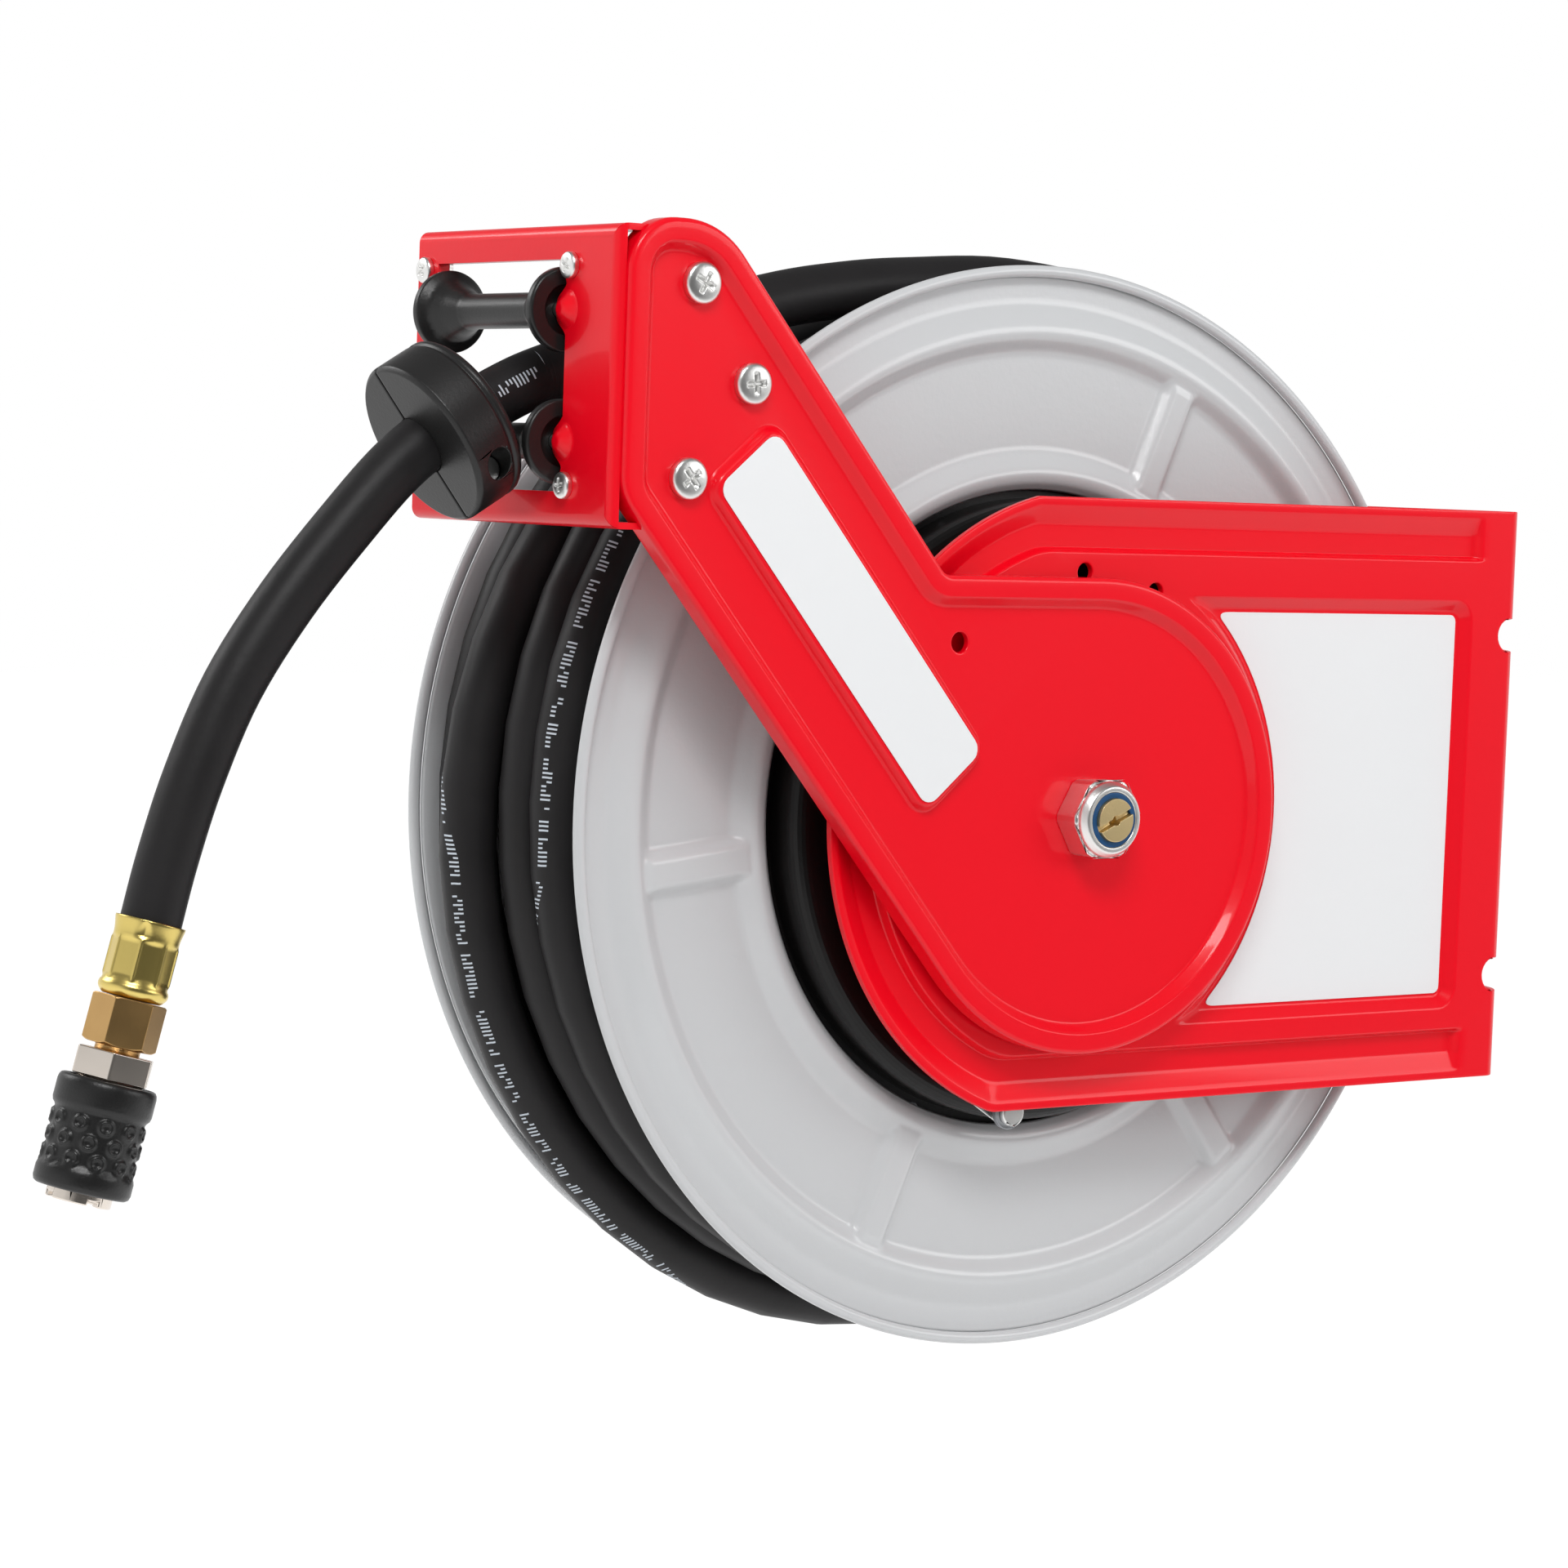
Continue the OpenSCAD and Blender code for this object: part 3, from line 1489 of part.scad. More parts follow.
module coupling_body() {
    total = socket_end - coupling_at;
    color("silver")
        difference() {
            union() {
                on_end(coupling_at)
                    hexagon(coupling_af, coupling_hex_len);
                on_end(coupling_at + coupling_hex_len)
                    cylinder(r = coupling_body_r, h = total - coupling_hex_len);
            }
            on_end(coupling_at - 1)
                cylinder(r = 4, h = total);
            on_end(coupling_at + 3)
                cylinder(r = valve_r + 0.4, h = total);
            on_end(valve_at + 1)
                cylinder(r = socket_r, h = total);
            on_end(ball_at)
                for (i = [0:ball_count - 1])
                    rotate([0, 90, 360 * i / ball_count])
                        cylinder(r = ball_r + 0.05, h = 2 * coupling_body_r, $fn = 32);
            on_end(socket_end - 1.5)
                for (i = [0:1])
                    rotate([0, 0, 90 * i])
                        translate([-coupling_body_r - 1, -1.6, 0])
                            cube([2 * coupling_body_r + 2, 3.2, 3]);
        }
}

module coupling_balls() {
    color("silver")
        on_end(ball_at)
            for (i = [0:ball_count - 1])
                rotate([0, 0, 360 * i / ball_count])
                    translate([coupling_body_r - ball_r, 0, 0])
                        sphere(r = ball_r, $fn = 24);
}

module coupling_valve() {
    color("goldenrod")
        on_end(valve_at - valve_len + 1) {
            cylinder(r = valve_r - 1.4, h = valve_len);
            translate([0, 0, valve_len - 2.5])
                cylinder(r = valve_r, h = 2.5);
        }
}

module valve_spring() {
    turns = 4;
    color("silver")
        on_end(coupling_at + 3 + 0.1 + wire_r)
            tube_along(helix(valve_r - 0.5, (valve_len - 5) / turns, turns, 14), 0.35, 6, [0, 0, 1]);
}

module sleeve_spring() {
    turns = 4;
    color("silver")
        on_end(sleeve_at + 1 + wire_r + 0.1)
            tube_along(helix(coupling_body_r + 1 + wire_r, (spring_room - 3) / turns, turns, 18),
                wire_r, 6, [0, 0, 1]);
}

// Sliding sleeve with a rubber grip: waisted, with rows of knobs.
module coupling_sleeve() {
    waist = sleeve_r - 1.3;
    knob_rows = 3;
    knobs = 10;
    color("#1b1b1d")
        difference() {
            union() {
                end_turned(sleeve_at, [
                    [sleeve_bore, 0], [sleeve_r - 1, 0], [sleeve_r, 1.5], [sleeve_r, 8],
                    [waist, 11], [waist, sleeve_len - 9], [sleeve_r, sleeve_len - 6],
                    [sleeve_r, sleeve_len - 2], [sleeve_r - 1.5, sleeve_len], [sleeve_bore, sleeve_len]
                ]);
                for (row = [0:knob_rows - 1])
                    on_end(sleeve_at + 12 + row * (sleeve_len - 22) / (knob_rows - 1))
                        for (k = [0:knobs - 1])
                            rotate([0, 0, 360 * (k + row / 2) / knobs])
                                translate([waist - 0.4, 0, 0])
                                    sphere(r = 1.3, $fn = 16);
            }
            // Room for the spring, and for the hexagon when pushed back.
            on_end(sleeve_at - 1)
                cylinder(r = spring_room_r, h = spring_room + 1);
        }
}

base_bracket();
base_label();
main_axle();
axle_nut();
nut_lock_ring();
arm_spacer();
ratchet_wheel();
spring_arbor();
arbor_pin();
thrust_washer();
retaining_ring();
front_disc();
rear_disc();
drum_barrel();
spring_cover();
spring_case();
case_rivets();
mainspring();
front_bush();
rear_bush();
swivel_housing();
swivel_seals();
swivel_screws();
outlet_fitting();
inner_hose();
inner_ferrule();
hose_winding();
pawl_screw();
pawl();
pawl_spring();
guide_arm();
arm_label();
bracket_screws();
bracket_nuts();
guide_bracket();
guide_clamp_plate();
guide_screws();
guide_nuts();
roller_pins();
roller_top();
roller_bottom();
stopper_front_half();
stopper_rear_half();
stopper_screws();
stopper_nuts();
hose_run();
hose_ferrule();
union_nut();
coupling_body();
coupling_balls();
coupling_valve();
valve_spring();
sleeve_spring();
coupling_sleeve();
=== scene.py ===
from math import asin, atan2, cos, exp, hypot, pi, radians, sin, sqrt

import bmesh
import bpy
import numpy as np
from mathutils import Matrix, Vector


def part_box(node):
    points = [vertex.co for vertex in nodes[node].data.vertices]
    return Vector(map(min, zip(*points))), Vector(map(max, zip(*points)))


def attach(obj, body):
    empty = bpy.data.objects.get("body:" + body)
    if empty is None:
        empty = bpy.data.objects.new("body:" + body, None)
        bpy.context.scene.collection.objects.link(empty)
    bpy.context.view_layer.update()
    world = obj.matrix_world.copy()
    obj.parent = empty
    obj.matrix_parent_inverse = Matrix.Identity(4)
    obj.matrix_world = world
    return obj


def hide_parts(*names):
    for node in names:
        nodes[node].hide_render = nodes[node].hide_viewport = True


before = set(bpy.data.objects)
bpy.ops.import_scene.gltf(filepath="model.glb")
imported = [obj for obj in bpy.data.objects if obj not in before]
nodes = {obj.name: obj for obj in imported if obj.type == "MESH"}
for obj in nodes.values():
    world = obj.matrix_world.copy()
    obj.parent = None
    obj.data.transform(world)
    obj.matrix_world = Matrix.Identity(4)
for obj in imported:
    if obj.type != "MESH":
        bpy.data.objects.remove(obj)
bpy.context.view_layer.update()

# -------------------------------- camera
# A long lens looks at the reel from its left front, a little above the
# axle. Its place is counted from the axle and the front disc's rim.

axle_low, axle_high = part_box("main_axle")
axle_x = (axle_low[0] + axle_high[0]) / 2
rim_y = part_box("front_disc")[0][1]
camera_from_axle, camera_from_rim, camera_height = -0.8654, -1.0702, 0.1052
camera_yaw, camera_pitch, camera_roll = radians(35.6), radians(-4.16), radians(2.05)

camera_data = bpy.data.cameras.new("camera")
camera_data.sensor_width = 36
camera_data.lens = 97.7
camera = bpy.data.objects.new("camera", camera_data)
bpy.context.scene.collection.objects.link(camera)
camera.matrix_world = (
    Matrix.Translation((axle_x + camera_from_axle, rim_y + camera_from_rim, camera_height))
    @ Matrix.Rotation(-camera_yaw, 4, "Z")
    @ Matrix.Rotation(pi / 2 + camera_pitch, 4, "X")
    @ Matrix.Rotation(camera_roll, 4, "Z")
)
bpy.context.scene.camera = camera

# ---------------------------------- hose
# The free end of the rubber hose: it leaves the drum at the top, passes
# between the guide's rollers and through the stopper, and hangs down in a
# curve to its crimped end. Black wrapped rubber, with a row of small pale strokes.


def add_object(name, data):
    """An object in the scene, with smooth faces where it is a mesh."""
    if isinstance(data, bpy.types.Mesh):
        data.polygons.foreach_set("use_smooth", [True] * len(data.polygons))
        data.update()
    obj = bpy.data.objects.new(name, data)
    bpy.context.scene.collection.objects.link(obj)
    return obj


def piece(name, points, faces, uvs=None):
    """A mesh object from points in the reel's frame."""
    mesh = bpy.data.meshes.new(name)
    mesh.from_pydata([tuple(p) for p in points], [], faces)
    if uvs is not None:
        layer = mesh.uv_layers.new(name="along")
        for loop in mesh.loops:
            layer.data[loop.index].uv = uvs[loop.vertex_index]
    return add_object(name, mesh)


def piece_from(name, bm):
    """A mesh object from a finished bmesh."""
    mesh = bpy.data.meshes.new(name)
    bm.to_mesh(mesh)
    bm.free()
    return add_object(name, mesh)


def dress(obj, body, material, replaced=()):
    """Gives a piece its body, finish and the solids it stands for."""
    obj.data.materials.clear()
    obj.data.materials.append(material)
    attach(obj, body)
    if replaced:
        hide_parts(*replaced)


def smooth_path(points, steps):
    """A smooth curve through points, with some steps between each pair."""
    p = np.array(points, float)
    out = []
    for i in range(len(p) - 1):
        a, b, c, d = p[max(i - 1, 0)], p[i], p[i + 1], p[min(i + 2, len(p) - 1)]
        for s in range(steps):
            t = s / steps
            out.append(0.5 * (2 * b + (c - a) * t + (2 * a - 5 * b + 4 * c - d) * t * t
                              + (3 * b - 3 * c + d - a) * t ** 3))
    out.append(p[-1])
    return np.array(out)


def grid_faces(rows, columns, wrap=False, flip=False, start=0):
    """The faces between rows of points; wrap also joins each row's last point to its first."""
    faces = []
    for i in range(rows - 1):
        for k in range(columns if wrap else columns - 1):
            a, b = (start + i * columns + j for j in (k, (k + 1) % columns))
            faces.append((a, a + columns, b + columns, b) if flip else (a, b, b + columns, a + columns))
    return faces


def tube(points, radius, sides, rows):
    """Points, faces and (metres along, turn from the printed row) of a capped tube."""
    path = np.array(points, float)
    count = len(path)
    along = np.concatenate([[0], np.cumsum(np.linalg.norm(np.diff(path, axis=0), axis=1))])
    verts, uvs = [], []
    for i in range(count):
        tangent = path[min(i + 1, count - 1)] - path[max(i - 1, 0)]
        tangent /= np.linalg.norm(tangent)
        u = np.cross(tangent, (0.0, 1.0, 0.0))
        u /= np.linalg.norm(u)
        v = np.cross(u, tangent)
        for k in range(sides + 1):
            a = 2 * pi * k / sides
            verts.append(path[i] + radius * (u * cos(a) + v * sin(a)))
            uvs.append((along[i], k / sides - rows[i]))
    faces = grid_faces(count, sides + 1)
    faces.append(tuple(range(sides - 1, -1, -1)))
    faces.append(tuple((count - 1) * (sides + 1) + k for k in range(sides)))
    return verts, faces, uvs


HOSE_ROUTE = [
    (0.0845, 0.1464), (0.0437, 0.1632), (0, 0.169), (-0.039, 0.167), (-0.066, 0.164), (-0.095, 0.1585),
    (-0.140, 0.1455), (-0.170, 0.1348), (-0.188, 0.1276), (-0.211, 0.1148), (-0.226, 0.1038),
    (-0.242, 0.087), (-0.262, 0.0634), (-0.279, 0.0383), (-0.2907, 0.0123), (-0.2985, -0.011),
    (-0.3034, -0.0295)
]
hose_d = 0.018
hose_in_ferrule = 0.003
end_dir = Vector((-0.256, 0, -0.967)).normalized()
hose_y = sum(corner[1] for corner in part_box("hose_run")) / 2


def flat_hose_point(p):
    return (axle_x + p[0], hose_y, p[1])


hose_end = Vector(flat_hose_point(HOSE_ROUTE[-1]))
hose_path = smooth_path([flat_hose_point(p) for p in HOSE_ROUTE], 6)
hose_path = np.vstack([hose_path, hose_end + hose_in_ferrule * end_dir])


def feed(tree, node, inputs):
    """Sets a node's inputs to constants, or links them to the outputs that feed them."""
    for name, value in dict(inputs).items():
        if isinstance(value, bpy.types.NodeSocket):
            tree.links.new(value, node.inputs[name])
        else:
            node.inputs[name].default_value = value


def add_node(tree, kind, inputs=(), **settings):
    node = tree.nodes.new(kind if kind.startswith("Node") else "ShaderNode" + kind)
    for name, value in settings.items():
        setattr(node, name, value)
    feed(tree, node, inputs)
    return node


def calc(tree, operation, *values):
    return add_node(tree, "Math", enumerate(values), operation=operation).outputs[0]


def variation_group():
    """Cloudy colour, uneven gloss and fine relief, for every paint, metal and plastic."""
    group = bpy.data.node_groups.new("surface_variation", "ShaderNodeTree")
    floats = ("Cloud Scale", "Cloud Amount", "Roughness", "Roughness Spread", "Grain Scale")
    for side, kind, names in (("INPUT", "Vector", ("Vector",)), ("INPUT", "Color", ("Color", "Tint")),
                              ("INPUT", "Float", floats), ("OUTPUT", "Color", ("Color",)),
                              ("OUTPUT", "Float", ("Roughness", "Height"))):
        for name in names:
            group.interface.new_socket(name, in_out=side, socket_type="NodeSocket" + kind)
    given = add_node(group, "NodeGroupInput").outputs
    cloud, grain = (add_node(group, "TexNoise", {"Vector": given["Vector"], "Scale": given[scale],
                                                 "Detail": detail}).outputs["Fac"]
                    for scale, detail in (("Cloud Scale", 4), ("Grain Scale", 3)))
    mixed = add_node(group, "Mix", {"Factor": calc(group, "MULTIPLY", cloud, given["Cloud Amount"]),
                                    "A": given["Color"], "B": given["Tint"]}, data_type="RGBA")
    gloss = calc(group, "MULTIPLY_ADD", calc(group, "SUBTRACT", cloud, 0.5), given["Roughness Spread"],
                 given["Roughness"])
    add_node(group, "NodeGroupOutput", {"Color": mixed.outputs["Result"], "Roughness": gloss,
                                        "Height": grain})
    return group


surface_variation = variation_group()


def finish(name, color, tint, roughness, metallic=0.0, clouds=(20, 0.4), spread=0.12, grain=(900, 0.00004),
           coat=0.0, coat_roughness=0.05, specular=0.5, coords="Object", stretch=(1, 1, 1)):
    """A finish with cloudy colour, uneven gloss and fine relief."""
    material = bpy.data.materials.new(name)
    material.use_nodes = True
    tree = material.node_tree
    place = add_node(tree, "TexCoord").outputs[coords]
    scaled = add_node(tree, "Mapping", {"Vector": place, "Scale": stretch}).outputs["Vector"]
    varied = add_node(tree, "Group", {
        "Vector": scaled, "Color": (*color, 1), "Tint": (*tint, 1), "Cloud Scale": clouds[0],
        "Cloud Amount": clouds[1], "Roughness": roughness, "Roughness Spread": spread,
        "Grain Scale": grain[0]}, node_tree=surface_variation).outputs
    bump = add_node(tree, "Bump", {"Distance": grain[1], "Height": varied["Height"]})
    feed(tree, tree.nodes["Principled BSDF"], {
        "Base Color": varied["Color"], "Roughness": varied["Roughness"], "Normal": bump.outputs["Normal"],
        "Metallic": metallic, "Specular IOR Level": specular, "Coat Weight": coat,
        "Coat Roughness": coat_roughness})
    return material


def add_print(material, color, pitch, half_height):
    """A row of small plain strokes along a hose, where its second coordinate is whole."""
    tree = material.node_tree

    def chance(first, second, limit):
        pair = add_node(tree, "CombineXYZ", {0: first, 1: second}).outputs[0]
        noise = add_node(tree, "TexWhiteNoise", {"Vector": pair}, noise_dimensions="2D")
        return calc(tree, "GREATER_THAN", noise.outputs["Value"], limit)

    place = add_node(tree, "SeparateXYZ", {0: add_node(tree, "TexCoord").outputs["UV"]}).outputs
    cells = calc(tree, "DIVIDE", place["X"], pitch)
    cell, across = calc(tree, "FLOOR", cells), calc(tree, "FRACT", cells)
    height = calc(tree, "SUBTRACT", place["Y"], calc(tree, "ROUND", place["Y"]))
    height = calc(tree, "DIVIDE", height, half_height)
    inside = calc(tree, "LESS_THAN", calc(tree, "ABSOLUTE", height), 1.0)
    half = calc(tree, "SIGN", height)
    strokes = [calc(tree, "MULTIPLY", calc(tree, "COMPARE", across, middle, 0.11),
                    chance(calc(tree, "ADD", cell, shift), half, limit))
               for middle, shift, limit in ((0.22, 0.0, 0.25), (0.72, 0.5, 0.35))]
    spaced = calc(tree, "GREATER_THAN", calc(tree, "MODULO", cell, 7), 0.5)
    mask = calc(tree, "MULTIPLY", calc(tree, "MULTIPLY", calc(tree, "MAXIMUM", *strokes), inside), spaced)
    shader = tree.nodes["Principled BSDF"]
    plain = shader.inputs["Base Color"].links[0].from_socket
    mixed = add_node(tree, "Mix", {"Factor": mask, "A": plain, "B": (*color, 1)}, data_type="RGBA")
    feed(tree, shader, {"Base Color": mixed.outputs["Result"]})


hose_rubber = finish(
    "hose_rubber", (0.009, 0.0085, 0.009), (0.024, 0.022, 0.023), 0.48, clouds=(26, 0.7), spread=0.14,
    grain=(260, 0.0001), specular=0.25, coords="UV", stretch=(1, 0.056, 1))
add_print(hose_rubber, (0.55, 0.60, 0.66), 0.0026, 0.031)

# The printed row lies on the upper front side between rollers and stopper, and elsewhere at the rear.
roller_x, stopper_x = axle_x - 0.179, axle_x - 0.2108
front_row, rear_row = 0.69, 0.25
hose_rows = [front_row if stopper_x < p[0] < roller_x else rear_row for p in hose_path]
verts, faces, uvs = tube(hose_path, hose_d / 2, 40, hose_rows)
hose = piece("hose", verts, faces, uvs)
dress(hose, "arm", hose_rubber, ["hose_run"])

# The wound hose: layers of turns side by side on the barrel. In the outermost
# layer one turn has sprung open at the bottom and the left, and the last one
# dips at the top, where the free end lies over it.

turn_back, turn_pitch, turn_count = 0.0535, 0.0171, 5
inner_layers = [0.1192, 0.1372]
points_per_turn = 48


def layer_point(radius, y, angle):
    return (axle_x + radius * cos(angle), y, radius * sin(angle))


def coil_layer(radius, forward):
    """One full layer from flange to flange."""
    count = turn_count * points_per_turn
    path = []
    for i in range(count + 1):
        share = i / count
        turn = min(turn_count - 1, max(0.0, turn_count * (share if forward else 1 - share) - 0.5))
        path.append(layer_point(radius, turn_back - turn_pitch * turn, 2 * pi * turn_count * share))
    return path


# Places on the outermost layer: degrees short of the free end's start, radius and row Y.
outer_layer = [
    (1540, 0.1500, 0.0535), (1490, 0.1590, 0.0535), (1450, 0.1612, 0.0535), (1210, 0.1612, 0.0535),
    (1160, 0.1610, 0.0364), (1060, 0.1610, 0.0364), (1046, 0.1614, 0.0364), (1014, 0.1625, 0.0364),
    (990, 0.1655, 0.0364), (976, 0.1685, 0.0364), (955, 0.1720, 0.0364), (935, 0.1726, 0.0364),
    (870, 0.1726, 0.0364), (840, 0.1680, 0.0364), (815, 0.1625, 0.0350), (785, 0.1600, 0.0193),
    (440, 0.1600, 0.0193), (400, 0.1560, 0.0022), (350, 0.1535, 0.0022), (315, 0.1545, 0.0022),
    (285, 0.1585, 0.0022), (270, 0.1595, 0.0022), (150, 0.1590, 0.0022), (105, 0.1565, -0.0120),
    (80, 0.1570, -0.0149), (50, 0.1595, -0.0149), (25, 0.1655, -0.0125), (8, 0.1685, -0.0090),
    (0, 0.1690, -0.0080)
]
lead_angle = atan2(HOSE_ROUTE[0][1], HOSE_ROUTE[0][0])


def outer_path():
    """The outermost layer's turns, with the steps between its places eased."""
    left, radii, levels = (np.array(column[::-1], float) for column in zip(*outer_layer))
    count = int(left[-1] / 360 * points_per_turn)
    path = []
    for i in range(count + 1):
        short = left[-1] * (1 - i / count)
        eased = min(1.0, short / 30)
        near = np.clip(short + np.linspace(-14, 14, 9), 0, left[-1]) * eased + short * (1 - eased)
        radius, y = (float(np.mean(np.interp(near, left, column))) for column in (radii, levels))
        path.append(layer_point(radius, y, lead_angle - radians(short)))
    return path


printed_stretches = [(234, 275), (900, 956)]
print_twist = 22


def outer_rows(path):
    """Where the printed row lies on each turn: outwards on two stretches, twisting inwards beyond them."""
    rows = []
    for i in range(len(path)):
        short = outer_layer[0][0] * (1 - i / (len(path) - 1))
        beyond = min(max(low - short, short - high, 0.0) for low, high in printed_stretches)
        rows.append(0.58 * max(0.0, 1 - beyond / print_twist))
    return rows


coil_points, coil_faces, coil_uvs = [], [], []
layers = [coil_layer(inner_layers[0], False), coil_layer(inner_layers[1], True), outer_path()]
for layer in layers:
    rows = outer_rows(layer) if layer is layers[-1] else [0.0] * len(layer)
    verts, faces, uvs = tube(layer, hose_d / 2, 20, rows)
    start = len(coil_points)
    coil_points += verts
    coil_uvs += uvs
    coil_faces += [tuple(i + start for i in face) for face in faces]
winding = piece("hose_turns", coil_points, coil_faces, coil_uvs)
dress(winding, "drum", hose_rubber, ["hose_winding"])

# ---------------------------- hose's end
# A crimped sleeve of bright passivated steel, a brass union nut, and a
# nickel-plated quick coupling whose sliding sleeve has a rubber grip.


def close_seam(obj, distance=1e-6):
    """Joins the first and last column of a turned shape, and points its faces outwards."""
    bm = bmesh.new()
    bm.from_mesh(obj.data)
    bmesh.ops.remove_doubles(bm, verts=bm.verts, dist=distance)
    bmesh.ops.recalc_face_normals(bm, faces=bm.faces)
    bm.to_mesh(obj.data)
    bm.free()


def turned_piece(name, profile, sides, axis_from, axis_dir, side_dir, radius_at=None):
    """A turned shape: profile of (radius, place along), with an optional change of radius."""
    axis_dir, side_dir = Vector(axis_dir).normalized(), Vector(side_dir).normalized()
    other = axis_dir.cross(side_dir)
    verts, uvs = [], []
    length = 0
    for row, (radius, along) in enumerate(profile):
        if row:
            length += hypot(radius - profile[row - 1][0], along - profile[row - 1][1])
        for k in range(sides + 1):
            angle = 2 * pi * k / sides
            r = radius if radius_at is None else radius + radius_at(angle, along, radius)
            verts.append(Vector(axis_from) + axis_dir * along
                         + (side_dir * cos(angle) + other * sin(angle)) * r)
            uvs.append((length, k / sides))
    obj = piece(name, verts, grid_faces(len(profile), sides + 1), uvs)
    close_seam(obj)
    return obj


def round_edges(obj, width, segments, angle, clamp=False):
    """Rounds the sharp edges, and evens the shading between them."""
    bevel = obj.modifiers.new("round", "BEVEL")
    bevel.width = width
    bevel.segments = segments
    bevel.limit_method = "ANGLE"
    bevel.angle_limit = radians(angle)
    bevel.use_clamp_overlap = clamp
    normals = obj.modifiers.new("even", "WEIGHTED_NORMAL")
    normals.keep_sharp = False
    normals.weight = 80


def soften(obj, width, segments=2, angle=32):
    """Rounds the edges of a carried-over solid or a piece."""
    mesh = obj.data
    if "custom_normal" in mesh.attributes:
        mesh.attributes.remove(mesh.attributes["custom_normal"])
    mesh.polygons.foreach_set("use_smooth", [True] * len(mesh.polygons))
    mesh.edges.foreach_set("use_edge_sharp", [False] * len(mesh.edges))
    obj.modifiers.new("weld", "WELD").merge_threshold = 2e-6
    round_edges(obj, width, segments, angle)


def keep(names, material, width=0.0003, segments=2):
    """Carried-over solids with their own finish and rounded edges."""
    for name in names.split():
        obj = nodes[name]
        obj.data.materials.clear()
        obj.data.materials.append(material)
        if width:
            soften(obj, width, segments)


gold_zinc = finish(
    "gold_zinc", (0.86, 0.68, 0.22), (0.62, 0.48, 0.13), 0.3, metallic=1.0, clouds=(60, 0.6),
    spread=0.15, grain=(1500, 0.00001))
satin_brass = finish(
    "satin_brass", (0.86, 0.68, 0.36), (0.62, 0.46, 0.22), 0.4, metallic=1.0, clouds=(80, 0.7),
    spread=0.2, grain=(1800, 0.00004))
nickel = finish(
    "nickel_plate", (0.88, 0.81, 0.74), (0.62, 0.54, 0.46), 0.24, metallic=1.0, clouds=(60, 0.5),
    spread=0.12, grain=(2600, 0.000003))
grip_rubber = finish(
    "grip_rubber", (0.006, 0.006, 0.006), (0.014, 0.014, 0.014), 0.36, clouds=(50, 0.5), spread=0.15,
    grain=(1400, 0.00006))


def soft_step(x, start, end):
    t = min(1.0, max(0.0, (x - start) / (end - start)))
    return t * t * (3 - 2 * t)


# Crimped sleeve: a flared collar with one notch, eight pressed flats between thin ridges, and a bead.
notch_angle, notch_depth, notch_half, notch_flare = radians(214), 0.0007, 0.0004, 0.55
collar_end, flats_end, flats = 0.0055, 0.0182, 8
collar_r, ridge_r, ridge_w = 0.0095, 0.0093, 0.00035


def ferrule_change(angle, along, radius):
    if along < collar_end:
        away = abs(atan2(sin(angle - notch_angle), cos(angle - notch_angle))) * collar_r
        open_here = max(0.0, 1 - away / (notch_half + notch_flare * along))
        return -notch_depth * open_here * soft_step(along, 0.0, 0.0015)
    if along > flats_end:
        return 0.0
    half = pi / flats
    turn = (angle - notch_angle) % (2 * half) - half
    press = soft_step(along, collar_end, 0.0068) * (1 - soft_step(along, 0.0168, flats_end))
    ridge = ridge_w * exp(-(((half - abs(turn)) * ridge_r) / ridge_w) ** 2)
    return press * (radius * (cos(half) / cos(turn) - 1) * 0.8 + ridge)


ferrule_profile = [(0.00902, 0.0005), (0.0095, 0.0001), (0.0102, 0.0), (0.0103, 0.0004), (0.0102, 0.0010),
                   (0.0100, 0.0020), (0.0098, 0.0030), (0.00965, 0.0040), (0.0096, 0.0048)]
ferrule_profile += [(0.0096, collar_end + 0.0006 * i) for i in range(22)]
ferrule_profile += [(0.0097, 0.0187), (0.0101, 0.0192), (0.0103, 0.0200), (0.0102, 0.0209),
                    (0.0098, 0.0216), (0.0091, 0.0224), (0.0084, 0.0229), (0.006, 0.023)]
ferrule = turned_piece("crimped_sleeve", ferrule_profile, 192, hose_end, end_dir, (0, 1, 0), ferrule_change)
dress(ferrule, "arm", gold_zinc, ["hose_ferrule"])

# Union nut: a hexagon with its corners turned off at both ends, and the neck below it.
copper_brass = finish(
    "copper_brass", (0.70, 0.44, 0.18), (0.50, 0.30, 0.11), 0.34, metallic=1.0, clouds=(80, 0.7),
    spread=0.2, grain=(1800, 0.00004))
nut_flat, nut_top, nut_low = 0.0095, 0.023, 0.0372
nut_corner = radians(230)


def nut_change(angle, along, radius):
    if radius < 0.0096:
        return 0.0
    turn = (angle - nut_corner) % (pi / 3) - pi / 6
    flat = nut_flat / cos(turn)
    cone = 0.0097 + 1.7 * min(along - nut_top + 0.0002, nut_low - along - 0.0001)
    return min(flat, cone) - radius


nut_stations = np.concatenate([np.linspace(nut_top + 0.0001, nut_top + 0.0012, 7),
                               np.linspace(nut_low - 0.0016, nut_low - 0.0001, 9)])
nut_profile = [(0.0062, nut_top + 0.0001)] + [(0.0112, float(a)) for a in nut_stations]
nut_profile += [(0.0090, nut_low), (0.0068, nut_low), (0.0066, nut_low + 0.0003),
                (0.0066, nut_low + 0.0016), (0.0050, nut_low + 0.0016)]
nut = turned_piece("union_nut_turned", nut_profile, 180, hose_end, end_dir, (0, 1, 0), nut_change)
soften(nut, 0.0001, 1, 25)
dress(nut, "arm", copper_brass, ["union_nut"])
keep("coupling_body", nickel, 0.0005, 3)
keep("coupling_balls valve_spring sleeve_spring", nickel, 0)
keep("coupling_valve", satin_brass, 0)

